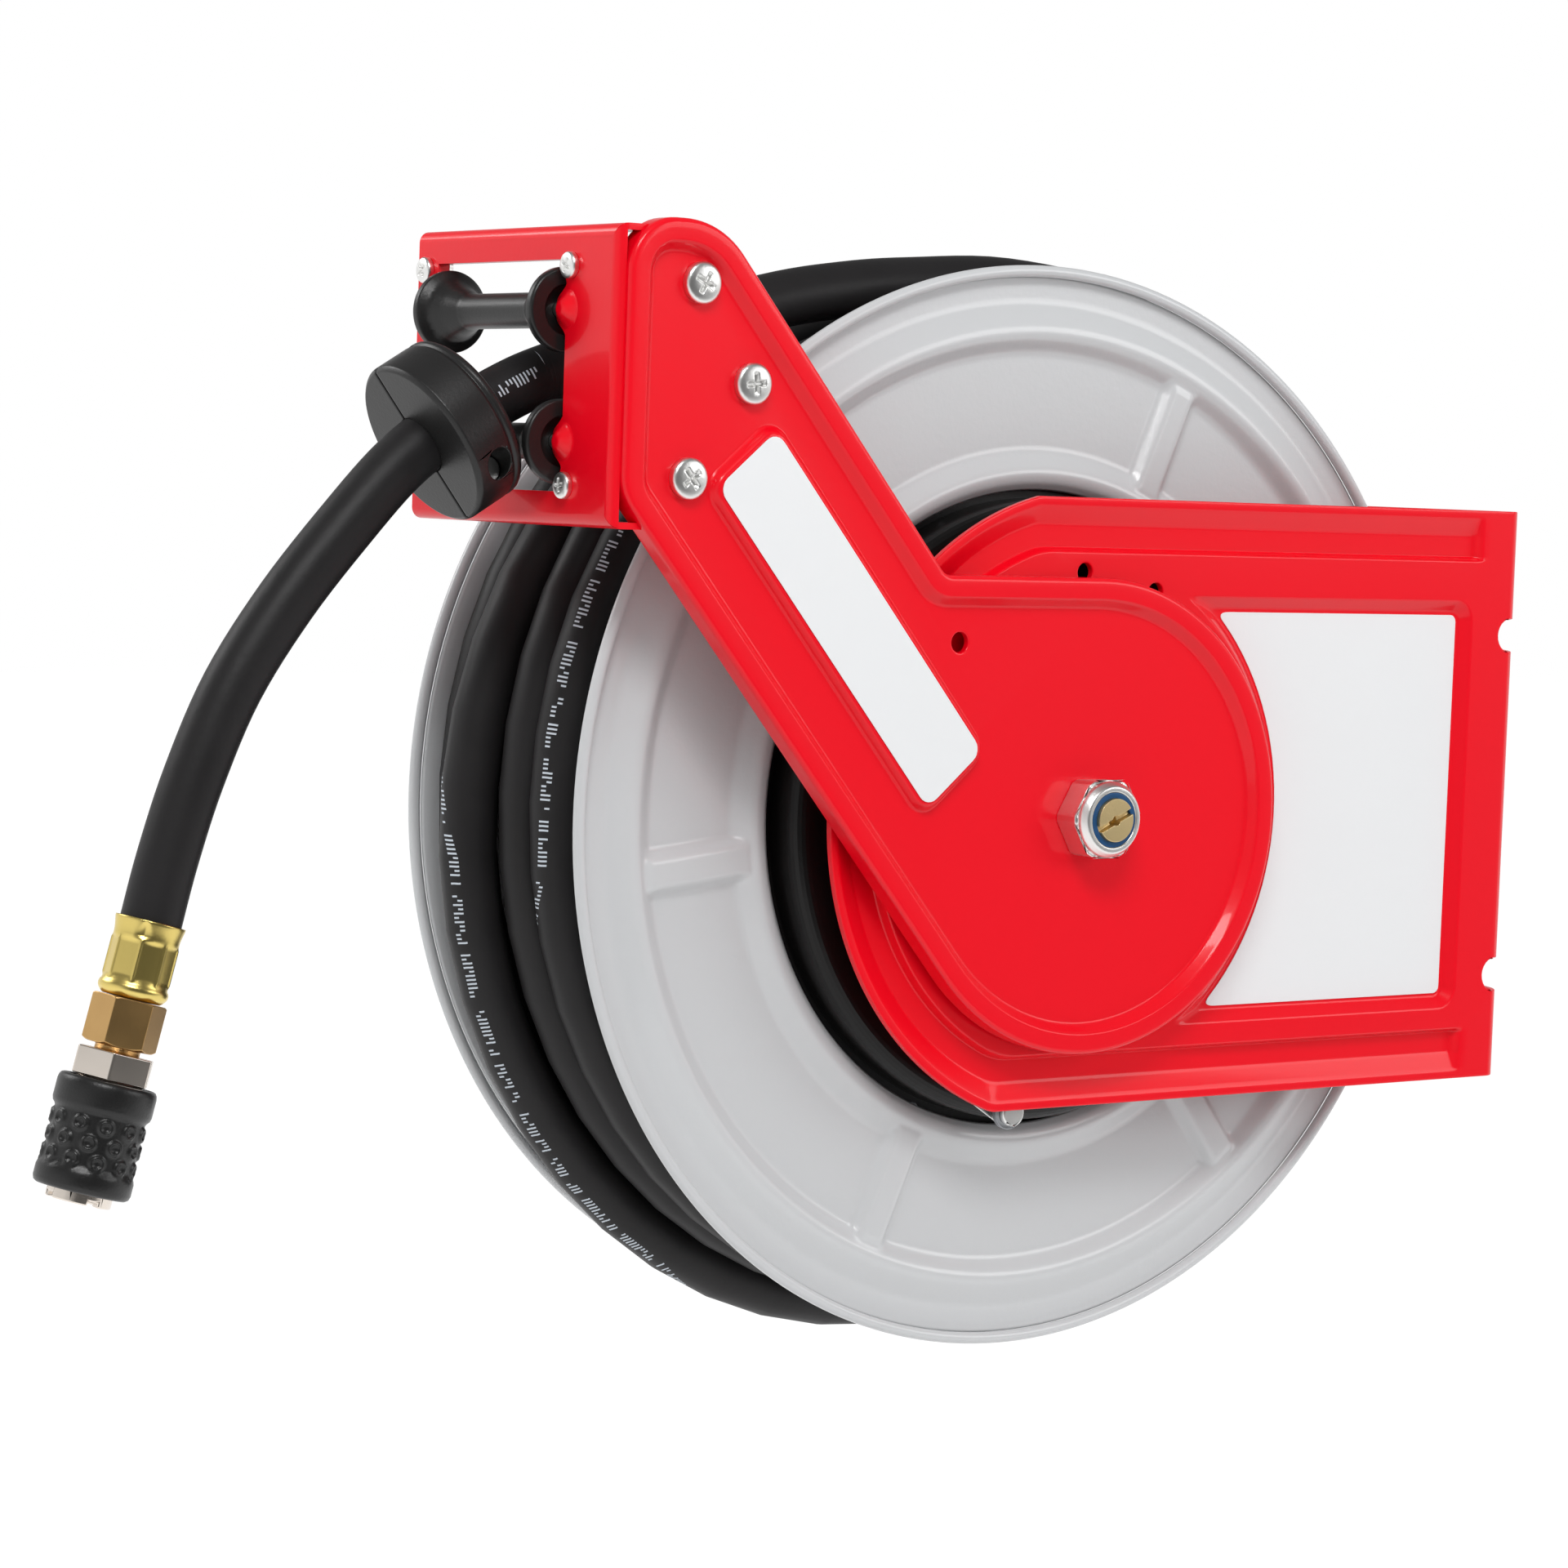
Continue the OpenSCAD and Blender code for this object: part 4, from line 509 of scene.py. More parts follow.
# Sliding sleeve: rubber grip with two bands, a waist and rows of small rings.
sleeve_at = 0.0473
grip_rings, grip_row_at = 11, [0.0128, 0.0180, 0.0232]
grip_r, grip_end = 0.012, 0.0252
ring_r, ring_w, ring_h = 0.0017, 0.0006, 0.0008


def grip_change(angle, along, radius):
    if radius < grip_r or along > grip_end:
        return 0.0
    step = 2 * pi / grip_rings
    change = 0.0
    for row, at in enumerate(grip_row_at):
        shifted = (angle + row * step / 2) / step
        distance = hypot((shifted - round(shifted)) * step * radius, along - at)
        change += ring_h * exp(-((distance - ring_r) / ring_w) ** 2)
    return change


sleeve_profile = [(0.01276, 0.006), (0.01276, 0.0005), (0.0129, 0.0001), (0.0131, 0.0), (0.0138, 0.0003),
                  (0.0143, 0.0011), (0.0145, 0.0022), (0.0145, 0.0075), (0.0142, 0.0086), (0.0135, 0.0094)]
sleeve_profile += [(0.0132, 0.0100 + 0.00035 * i) for i in range(42)]
sleeve_profile += [(0.0134, 0.0252), (0.0140, 0.0262), (0.0143, 0.0272), (0.0143, 0.0306), (0.0139, 0.0318),
                   (0.0130, 0.0324), (0.0115, 0.0325), (0.0098, 0.0324)]
sleeve = turned_piece("sleeve_grip", sleeve_profile, 220, hose_end + sleeve_at * end_dir, end_dir,
                      (0, 1, 0), grip_change)
dress(sleeve, "sleeve", grip_rubber, ["coupling_sleeve"])

# ------------------------------- stopper
# Two moulded halves screwed together round the hose; they stop it at the
# rollers when it is wound in.

black_plastic = finish(
    "black_plastic", (0.010, 0.010, 0.010), (0.022, 0.021, 0.021), 0.36, clouds=(30, 0.5), spread=0.12,
    grain=(1100, 0.00005), specular=0.4)
keep("stopper_front_half stopper_rear_half", black_plastic, 0.0004)
zinc = finish(
    "zinc_plate", (0.88, 0.88, 0.86), (0.70, 0.70, 0.69), 0.36, metallic=1.0, clouds=(70, 0.6),
    spread=0.18, grain=(1500, 0.00004))
keep("stopper_nuts", zinc, 0)


def pan_screw(name, head_r, head_h, shank_r, shank_len, at, axis, side, turn=0.0):
    """A pan-head screw with a cross recess; axis points from the head's seat outwards."""
    axis, side, at = Vector(axis), Vector(side), Vector(at)
    rows, sides = 14, 64
    angles = [2 * pi * k / sides for k in range(sides)]
    outwards = [side * cos(a) + axis.cross(side) * sin(a) for a in angles]
    arm_half, reach = head_r * 0.13, head_r * 0.52
    verts = []
    for row in range(rows + 1):
        r = head_r * row / rows
        dome = head_h * (0.62 + 0.38 * sqrt(max(0.0, 1 - (r / head_r) ** 2.6)))
        for angle, outward in zip(angles, outwards):
            x, y = abs(r * cos(angle + turn)), abs(r * sin(angle + turn))
            cross = max(min(arm_half - x, reach - y), min(arm_half - y, reach - x))
            depth = min(1.0, max(0.0, cross / (head_r * 0.06)))
            verts.append(at + axis * (dome - 0.35 * head_h * depth) + outward * r)
    edge = [(head_r, head_h * 0.5), (head_r, head_h * 0.12), (head_r * 0.97, 0.0), (shank_r, 0.0),
            (shank_r, -shank_len + 0.0005), (shank_r * 0.8, -shank_len), (0.00001, -shank_len)]
    verts += [at + axis * along + outward * r for r, along in edge for outward in outwards]
    obj = piece(name, verts, grid_faces(rows + len(edge) + 1, sides, wrap=True))
    close_seam(obj, 2e-6)
    soften(obj, 0.00008, 1, 50)
    return obj


def join_pieces(name, objs):
    """One object from several."""
    bm = bmesh.new()
    for obj in objs:
        evaluated = obj.evaluated_get(bpy.context.evaluated_depsgraph_get())
        bm.from_mesh(evaluated.to_mesh())
        evaluated.to_mesh_clear()
        bpy.data.objects.remove(obj)
    return piece_from(name, bm)


def loose_parts(node):
    """The boxes of a node's separate solids, as (low, high) corners."""
    bm = bmesh.new()
    bm.from_mesh(nodes[node].data)
    bmesh.ops.remove_doubles(bm, verts=bm.verts, dist=2e-6)
    seen, boxes = set(), []
    for first in bm.verts:
        if first in seen:
            continue
        stack, points = [first], []
        while stack:
            v = stack.pop()
            if v not in seen:
                seen.add(v)
                points.append(v.co.copy())
                stack += [edge.other_vert(v) for edge in v.link_edges]
        boxes.append((np.min(points, axis=0), np.max(points, axis=0)))
    bm.free()
    return boxes


def dress_screws(node, name, body, head_r, head_h, shank_r, axis, side):
    """Replaces a node's screws, whose heads lie towards axis, with detailed ones."""
    made = []
    i = max(range(3), key=lambda n: abs(axis[n]))
    for index, (low, high) in enumerate(loose_parts(node)):
        at = Vector((low + high) / 2)
        at[i] = (low[i] if axis[i] < 0 else high[i]) - axis[i] * head_h
        made.append(pan_screw(f"{name}_{index}", head_r, head_h, shank_r, high[i] - low[i] - head_h,
                              at, axis, side, 0.5 + index))
    dress(join_pieces(name, made), body, zinc, [node])


keep("stopper_screws", zinc, 0.0002)

# -------------------------- base bracket
# One pressed steel sheet with a thick red powder coat: a plate with a round
# end, a rim groove and a sunk label field, bent over into the foot.

red_paint = finish(
    "red_paint", (0.84, 0.0, 0.010), (0.70, 0.0, 0.012), 0.32, clouds=(9, 0.35), spread=0.06,
    grain=(420, 0.00004), coat=0.3, coat_roughness=0.08, specular=0.2)


hole_margin = 0.0008


def sheet_piece(name, rings, features, holes, place, closed=True, bends=(), cut=None):
    """A pressed sheet's outer skin. rings run inwards from its edge as (u, v, height) points; each
    feature runs from the flat to its floor, and holes are loops in the flat. place gives the spot."""
    bm = bmesh.new()

    def add_loop(points):
        return [bm.verts.new(p) for p in points]

    def loop_edges(loop):
        found = []
        for a, b in zip(loop, loop[1:] + loop[:1]):
            found.append(bm.edges.get((a, b)) or bm.edges.new((a, b)))
        return found

    def bridge(one, two, wrap):
        count = len(one)
        for i in range(count if wrap else count - 1):
            j = (i + 1) % count
            bm.faces.new((one[i], one[j], two[j], two[i]))

    loops = [add_loop(r) for r in rings]
    for one, two in zip(loops, loops[1:]):
        bridge(one, two, closed)
    flat_edges = loop_edges(loops[-1])
    for feature in features:
        inner = [add_loop(r) for r in feature]
        for one, two in zip(inner, inner[1:]):
            bridge(one, two, True)
        flat_edges += loop_edges(inner[0])
        bmesh.ops.triangle_fill(bm, use_beauty=True, edges=loop_edges(inner[-1]))
    for hole in holes:
        middle = sum((Vector(p) for p in hole), Vector()) / len(hole)
        around = add_loop([Vector(p) + (Vector(p) - middle).normalized() * hole_margin for p in hole])
        bridge(add_loop(hole), around, True)
        flat_edges += loop_edges(around)
    bmesh.ops.triangle_fill(bm, use_beauty=True, edges=flat_edges)
    for u in bends:
        geometry = bm.verts[:] + bm.edges[:] + bm.faces[:]
        bmesh.ops.bisect_plane(bm, geom=geometry, dist=1e-7, plane_co=(u, 0, 0), plane_no=(1, 0, 0))
    if cut is not None:
        bmesh.ops.delete(bm, geom=[f for f in bm.faces if cut(f.calc_center_median())], context="FACES")
    bmesh.ops.recalc_face_normals(bm, faces=bm.faces)
    if sum(f.normal.z * f.calc_area() for f in bm.faces) < 0:
        bmesh.ops.reverse_faces(bm, faces=bm.faces)
    x, y, z = (Vector(place(*axis)) - Vector(place(0, 0, 0)) for axis in ((1, 0, 0), (0, 1, 0), (0, 0, 1)))
    if x.cross(y).dot(z) < 0:
        bmesh.ops.reverse_faces(bm, faces=bm.faces)
    for v in bm.verts:
        v.co = place(*v.co)
    return piece_from(name, bm)


def thicken(obj, thickness, edge=0.0004, clamp=False):
    """Gives a skin its sheet thickness behind it, and rounds the cut edges."""
    solid = obj.modifiers.new("sheet", "SOLIDIFY")
    solid.thickness = thickness
    solid.offset = -1
    solid.use_even_offset = True
    round_edges(obj, edge, 2, 50, clamp)


def arc_points(center, radius, start, end, count=10):
    return [(center[0] + radius * cos(a), center[1] + radius * sin(a))
            for a in np.linspace(start, end, count)]


def circle(center, radius, count=40, height=0.0):
    return [(u, v, height) for u, v in arc_points(center, radius, 0, 2 * pi, count + 1)[:-1]]


base_low, base_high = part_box("base_bracket")
plate_y = base_low[1]
plate_up, plate_down = base_high[2], -base_low[2]
plate_end_at = Vector((0.0055, 0.002))
plate_end_r = axle_x - base_low[0] + plate_end_at[0]
sheet_t = 0.0025
bend_r = 0.005
press = 0.0033
plate_end_u = -axle_x - bend_r
bend_len = bend_r * pi / 2
foot_end_u = plate_end_u + bend_len + (base_high[1] - plate_y - bend_r)


def plate_place(u, v, h):
    """The unrolled sheet, laid in the plate, round the bend and along the foot."""
    if u <= plate_end_u:
        return (axle_x + u, plate_y - h, v)
    if u <= plate_end_u + bend_len:
        angle, radius = (u - plate_end_u) / bend_r, bend_r + h
        return (-bend_r + radius * sin(angle), plate_y + bend_r - radius * cos(angle), v)
    return (h, plate_y + bend_r + (u - plate_end_u - bend_len), v)


def plate_line(inset, depth):
    """The plate's edge drawn in by inset, from the foot's end over the top and round to the foot again."""
    radius = plate_end_r - inset
    stations = [foot_end_u, 0.179, 0.1765, 0.1755, 0.1745, 0.1735, 0.1725, 0.170, 0.12, 0.06]
    upper_r, lower_r = 0.003 + 1.4 * inset, 0.008 + 1.2 * inset
    corners = []
    for corner, level in ((upper_r, plate_up - inset - upper_r), (lower_r, lower_r + inset - plate_down)):
        rise = level - plate_end_at[1]
        x = plate_end_at[0] - sqrt((radius - corner) ** 2 - rise ** 2)
        corners.append((x, level, atan2(rise, x - plate_end_at[0]) % (2 * pi)))
    (upper_x, upper_z, upper_a), (lower_x, lower_z, lower_a) = corners
    line = [(u, plate_up - inset) for u in stations]
    line += arc_points((upper_x, upper_z), upper_r, pi / 2, upper_a, 14)
    line += arc_points(plate_end_at, radius, upper_a, lower_a, 90)[1:-1]
    line += arc_points((lower_x, lower_z), lower_r, lower_a, 1.5 * pi, 14)
    line += [(u, inset - plate_down) for u in reversed(stations)]
    return [(u, v, depth * soft_step(-u, -0.1765, -0.1725)) for u, v in line]


groove = [(0, 0), (0.0012, 0), (0.0022, 0), (0.0030, -0.0002), (0.0040, -0.0008), (0.0080, -0.0028),
          (0.0088, -0.0032), (0.0096, -press), (0.0158, -press), (0.0163, -0.0031), (0.0171, -0.0004),
          (0.0175, -0.0001), (0.0179, 0)]


def label_loop(grow, depth):
    """The label field's outline grown by grow, with a hollow left side about the axle."""
    right, top, bottom = 0.1675 + grow, 0.066 + grow, 0.0652 + grow
    hollow, corner = 0.087 - grow, 0.003 + grow
    loop = arc_points((right - corner, top - corner), corner, 0, pi / 2, 7)

    def left_corner(level, sign):
        tip_angle = asin(level / hollow)
        tip = Vector((hollow * cos(tip_angle), sign * level))
        before = tip + Vector((0.006, 0))
        after_angle = tip_angle - 0.055
        after = Vector((hollow * cos(after_angle), sign * hollow * sin(after_angle)))
        eased = [(1 - t) ** 2 * before + 2 * t * (1 - t) * tip + t * t * after
                 for t in np.linspace(0, 1, 7)]
        return [tuple(p) for p in eased], after_angle

    upper, upper_angle = left_corner(top, 1)
    lower, lower_angle = left_corner(bottom, -1)
    loop += upper + arc_points((0, 0), hollow, upper_angle, -lower_angle, 30)[1:-1] + lower[::-1]
    loop += arc_points((right - corner, corner - bottom), corner, -pi / 2, 0, 7)
    return [(u, v, depth) for u, v in loop]


label_steps = [(0.005, 0), (0.0044, -0.0001), (0.0038, -0.0005), (0.0012, -0.0028), (0.0006, -0.0032),
               (0, -press)]
index_r, index_hole_r = 0.0775, 0.003
index_holes = [arc_points((0, 0), index_r, radians(a), 0, 1)[0] for a in (90, 67.5, 45)]
fixing_v = 0.0587
slot_r, slot_flare = 0.0045, 0.0012


def slot_loop(v):
    """Open slot at the bend: it runs from the plate round the bend into the foot."""
    start, end = plate_end_u + 0.0015, plate_end_u + bend_len + 0.009
    loop = arc_points((start, v), slot_r + slot_flare, pi / 2, 1.5 * pi, 13)
    loop += arc_points((end, v), slot_r, -pi / 2, pi / 2, 13)
    return [(u, w, 0) for u, w in loop]


far_hole_u = foot_end_u - 0.014
axle_hole_r = 0.00806
base_holes = [circle((0, 0), axle_hole_r)] + [circle(p, index_hole_r, 28) for p in index_holes]
base_holes += [slot_loop(s * fixing_v) for s in (-1, 1)]
base_holes += [circle((far_hole_u, s * fixing_v), slot_r) for s in (-1, 1)]
bend_lines = [plate_end_u + bend_len * k / 8 for k in range(9)]
base = sheet_piece("base_plate", [plate_line(*g) for g in groove], [[label_loop(*g) for g in label_steps]],
                   base_holes, plate_place, closed=False, bends=bend_lines)
thicken(base, sheet_t)
dress(base, "bracket", red_paint, ["base_bracket"])

# The label: printed film, left bare, that fills the floor of its field.
label_film = finish(
    "label_film", (0.80, 0.81, 0.82), (0.74, 0.75, 0.77), 0.35, clouds=(14, 0.3), spread=0.08,
    grain=(700, 0.00003), coat=0.3, coat_roughness=0.2)
label_t = 0.0003
film = sheet_piece("base_film", [label_loop(-0.0006, -press + label_t)], [], [], plate_place)
thicken(film, label_t * 0.9, 0.0001)
dress(film, "bracket", label_film, ["base_label"])

# ---------------------- axle and its nut
# Turned brass axle with a slotted nose, held by a zinc-plated lock nut with
# a blue nylon ring; a steel spacer keeps the arm clear of the plate.

steel = finish(
    "plain_steel", (0.42, 0.43, 0.45), (0.30, 0.31, 0.33), 0.33, metallic=1.0, clouds=(50, 0.7),
    spread=0.2, grain=(1300, 0.00005))
blue_nylon = finish(
    "blue_nylon", (0.003, 0.055, 0.16), (0.006, 0.08, 0.23), 0.35, clouds=(200, 0.5), spread=0.1,
    grain=(2500, 0.00003))
keep("main_axle", satin_brass, 0.0002)
keep("axle_nut", zinc, 0.0005, 3)
keep("nut_lock_ring", blue_nylon, 0.0002)
keep("arm_spacer spring_arbor", steel)
keep("ratchet_wheel arbor_pin", steel, 0.0002)
keep("thrust_washer retaining_ring", steel, 0.0001)

# ---------------------------------- drum
# Two pressed sheet discs with beaded rims, outer ridges and six soft ribs,
# painted light grey, on a sheet barrel; inside it sits the spring housing.

grey_paint = finish(
    "grey_paint", (0.58, 0.59, 0.60), (0.52, 0.53, 0.545), 0.3, clouds=(7, 0.4), spread=0.08,
    grain=(500, 0.00006), coat=0.35, coat_roughness=0.12)
disc_r = (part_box("front_disc")[1][0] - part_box("front_disc")[0][0]) / 2
disc_t = 0.0015
rib_start, rib_step, rib_half, rib_depth = radians(7), radians(60), 0.0065, 0.0008
rib_inner, rib_outer = (0.1075, 0.1125), (0.1475, 0.1525)
bead_r, bead_room = 0.0019, 0.0036
lip_w, flat_from, flat_to, ridges_from = 0.016, 0.018, 0.143, 0.1442


def softened(section, r, reach=0.0012):
    """A section's depth at r, with its corners eased over reach."""
    places, depths = zip(*section)
    return float(np.mean(np.interp(r + reach * np.linspace(-1, 1, 7), places, depths)))


def disc_piece(name, hole_r, section, side, level):
    """A pressed disc; side is -1 where its outside faces the front."""
    radii = np.concatenate([np.linspace(hole_r, hole_r + lip_w, 26),
                            np.linspace(hole_r + flat_from, flat_to, 22),
                            np.linspace(ridges_from, disc_r - bead_room, 34)])
    radii = sorted(set(round(float(r), 6) for r in radii))
    columns = 720
    verts = []
    for r in radii:
        flat_depth = softened(section, r)
        ribbed = soft_step(r, *rib_inner) * (1 - soft_step(r, *rib_outer))
        for k in range(columns):
            angle = 2 * pi * k / columns
            away = (angle - rib_start + rib_step / 2) % rib_step - rib_step / 2
            rib = ribbed * (1 - soft_step(abs(r * sin(away)), rib_half - 0.0028, rib_half + 0.0012))
            depth = flat_depth + (min(flat_depth, rib_depth) - flat_depth) * rib
            verts.append((axle_x + r * cos(angle), level - side * depth, r * sin(angle)))
    faces = grid_faces(len(radii), columns, True, side < 0)
    # Rolled bead at the rim, from the sheet's outer side round to its inner side.
    around, bead_angles = columns // 3, np.linspace(radians(205), radians(-120), 18)
    faces += grid_faces(len(bead_angles), around, True, side < 0, len(verts))
    for a in bead_angles:
        r = disc_r - bead_r + bead_r * cos(a)
        for k in range(around):
            turn = 2 * pi * k / around
            verts.append((axle_x + r * cos(turn), level - side * (bead_r - bead_r * sin(a)),
                          r * sin(turn)))
    obj = piece(name, verts, faces)
    solid = obj.modifiers.new("sheet", "SOLIDIFY")
    solid.thickness = disc_t
    solid.offset = -1
    return obj


outer_section = [(0.147, 0.0042), (0.152, 0.0002), (0.155, 0.0002), (0.163, 0.0035), (0.170, 0.0035),
                 (0.1714, 0.0029)]
lip_section = [(0.103, 0.0042), (0.1045, 0.0015), (0.1075, 0.0002), (0.1095, 0.0002), (0.116, 0.0042)]
front = disc_piece("front_disc_sheet", 0.103, lip_section + outer_section, -1, rim_y)
dress(front, "drum", grey_paint, ["front_disc"])
rear_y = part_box("rear_disc")[1][1]
rear_section = [(0.0135, 0.0042), (0.1, 0.0042)] + outer_section
rear = disc_piece("rear_disc_sheet", 0.0135, rear_section, 1, rear_y)
dress(rear, "drum", grey_paint, ["rear_disc"])
keep("drum_barrel", grey_paint, 0)

black_paint = finish(
    "black_paint", (0.003, 0.0025, 0.0025), (0.008, 0.007, 0.007), 0.34, clouds=(16, 0.6), spread=0.15,
    grain=(600, 0.00006), coat=0.1, coat_roughness=0.2, specular=0.2)
keep("spring_cover spring_case", black_paint, 0)
keep("case_rivets", steel, 0.0002)
spring_steel = finish(
    "spring_steel", (0.16, 0.17, 0.20), (0.09, 0.10, 0.13), 0.3, metallic=1.0, clouds=(40, 0.7),
    spread=0.2, grain=(900, 0.00005))
bronze = finish(
    "bush_bronze", (0.48, 0.30, 0.15), (0.36, 0.22, 0.11), 0.4, metallic=1.0, clouds=(90, 0.7),
    spread=0.2, grain=(1700, 0.00005))
seal_rubber = finish(
    "seal_rubber", (0.01, 0.01, 0.01), (0.02, 0.02, 0.02), 0.5, clouds=(90, 0.5), spread=0.1,
    grain=(1500, 0.00003))
keep("mainspring", spring_steel, 0)
keep("front_bush rear_bush", bronze, 0.0002)
keep("swivel_housing", satin_brass)
keep("swivel_seals", seal_rubber, 0)
keep("outlet_fitting", satin_brass, 0.0002)
keep("inner_ferrule", gold_zinc, 0.0002)
plain_rubber = finish(
    "plain_rubber", (0.009, 0.0085, 0.009), (0.024, 0.022, 0.023), 0.48, clouds=(26, 0.7), spread=0.14,
    grain=(500, 0.0001))
keep("inner_hose", plain_rubber, 0)
dress_screws("swivel_screws", "swivel_pan_screws", "drum", 0.004, 0.0026, 0.002, (0, 1, 0), (1, 0, 0))

# ------------------------------- ratchet
# A stamped steel pawl turns on a zinc-plated shoulder screw in the spring
# cover, and a bent wire spring presses it towards the wheel on the axle.

keep("pawl_screw", zinc, 0.0006, 3)
keep("pawl", steel, 0.0002)
keep("pawl_spring", zinc, 0)

# ----------------------------- guide arm
# A pressed sheet arm with a folded edge round it, a sunk face and a raised
# pad for a label. It is clamped on the axle and can be set to other angles.

arm_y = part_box("guide_arm")[0][1]
arm_hub_r, arm_top, arm_side = 0.076, 0.179, 0.183
arm_lean = radians(130.5)
arm_upper_off = 0.0015
arm_face_depth = 0.0035
arm_edge = 0.008
lower_side, upper_side = arm_lean + pi / 2, arm_lean - pi / 2


def meet(a, ca, b, cb):
    """Where two lines meet, each given by its outward normal's angle and offset."""
    s = sin(b - a)
    return ((ca * sin(b) - cb * sin(a)) / s, (cb * cos(a) - ca * cos(b)) / s)


def arm_loop(inset, height):
    """The arm's edge drawn in by inset: hub, inner corner, top, side and foot corner."""
    d = inset
    top_w = arm_side + meet(upper_side, arm_upper_off, pi / 2, arm_top)[0]
    right_r, left_r, foot_r, inner_r = 0.87 * top_w, 0.5 * top_w, 0.016, 0.005
    loop = arc_points((0, 0), arm_hub_r - d, lower_side, 2.5 * pi, 70)
    center = meet(pi / 2, arm_hub_r + inner_r, upper_side, arm_upper_off + inner_r)
    loop += arc_points(center, inner_r + d, 1.5 * pi, upper_side + pi, 8)
    for a, ca, b, cb, r in ((upper_side, arm_upper_off, pi / 2, arm_top, right_r),
                            (pi / 2, arm_top, pi, arm_side, left_r),
                            (pi, arm_side, lower_side, arm_hub_r, foot_r)):
        loop += arc_points(meet(a, ca - r, b, cb - r), r - d, a, b, 14)
    return [(u, v, height) for u, v in loop]


def arm_place(u, v, h):
    return (axle_x + u, arm_y - h, v)


pad_at, pad_len, pad_w, pad_corner = (-0.0982, 0.0611), 0.130, 0.030, 0.006


def pad_loop(grow, height):
    """The label pad's outline, a rounded oblong along the arm."""
    length, width, corner = pad_len / 2 + grow, pad_w / 2 + grow, pad_corner + grow
    loop = []
    for sx, sy, start in ((1, 1, 0), (-1, 1, 0.5), (-1, -1, 1), (1, -1, 1.5)):
        center = (sx * (length - corner), sy * (width - corner))
        loop += arc_points(center, corner, start * pi, (start + 0.5) * pi, 7)
    c, s = cos(arm_lean), sin(arm_lean)
    return [(pad_at[0] + u * c - v * s, pad_at[1] + u * s + v * c, height) for u, v in loop]


arm_rings = [(0, -arm_edge), (0, -0.006), (0, -0.003), (0, -0.0017), (0.00013, -0.0010), (0.0005, -0.0005),
             (0.0010, -0.00013), (0.0017, 0), (0.0030, 0), (0.0062, 0), (0.0068, -0.0002), (0.0075, -0.0010),
             (0.0090, -0.0028), (0.0096, -0.0033), (0.0104, -arm_face_depth)]
pad_steps = [(0.0022, -arm_face_depth), (0.0016, -0.0033), (0.0010, -0.0026), (0.0002, -0.0012),
             (-0.0004, -0.0007), (-0.0010, -0.0005)]
bracket_bolts = [(-0.1565, 0.1605), (-0.1371, 0.1317), (-0.1591, 0.1029)]
arm_index = arc_points((0, 0), index_r, radians(134.6), 0, 1)[0]
bolt_hole_r = 0.00325
arm_holes = [circle(at, r, count, -arm_face_depth) for at, r, count in (
    ((0, 0), axle_hole_r, 40), (arm_index, bolt_hole_r, 32), *((p, bolt_hole_r, 24) for p in bracket_bolts))]


gap_low, gap_high, gap_reach, gap_depth = 0.1032, 0.1625, 0.0008, 0.0024


def tab_gap(center):
    """The folded edge is open where the guide bracket's tab passes it."""
    beside = gap_low < center.y < gap_high and center.x < -arm_side + gap_reach
    return beside and center.z < -arm_face_depth - gap_depth


arm = sheet_piece("arm_sheet", [arm_loop(*r) for r in arm_rings], [[pad_loop(*g) for g in pad_steps]],
                  arm_holes, arm_place, cut=tab_gap)
thicken(arm, sheet_t)
dress(arm, "arm", red_paint, ["guide_arm"])
pad_film = sheet_piece("pad_film", [pad_loop(-0.0015, -0.0001)], [], [], arm_place)
thicken(pad_film, 0.0003, 0.0001)
dress(pad_film, "arm", label_film, ["arm_label"])

dress_screws("bracket_screws", "bracket_pan_screws", "arm", 0.0062, 0.0036, 0.003, (0, -1, 0), (1, 0, 0))
keep("bracket_nuts", zinc)

# ---------------------------- hose guide
# A folded sheet bracket with a window, a clamp plate behind it, and two
# spool-shaped plastic rollers on steel pins between them.

guide_low, guide_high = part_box("guide_bracket")
guide_x, arm_back = axle_x - 0.186, arm_y + 0.006
guide_near, guide_far = guide_low[1], guide_high[1]
guide_z = (guide_low[2] + guide_high[2]) / 2
guide_half = (guide_high[2] - guide_low[2]) / 2
guide_t, guide_fold, fold_r, near_r = 0.002, 0.012, 0.0035, 0.003
tab_len, strip_low, strip_high, strip_end = 0.061, 0.1035, 0.1622, -0.1845
window_near, window_far, window_half = rim_y - 0.002, rim_y + 0.072, 0.03425
dome_at, guide_screw_at, ear_r = 0.0195, 0.0324, 0.0062
dome_ears = [(side * dome_at, ear_r, 0.0005) for side in (-1, 1)]
screw_ears = [(side * guide_screw_at, 0.0049, 0.0027) for side in (-1, 1)]


def ear_reach(z, ears):
    """How far the window's side bulges inwards at a height, eased a little."""
    total = 0.0
    for step in np.linspace(-0.0015, 0.0015, 7):
        bulges = [sqrt(max(0.0, r * r - (z + step - at) ** 2)) - off for at, r, off in ears]
        total += max([0.0] + bulges) / 7
    return total


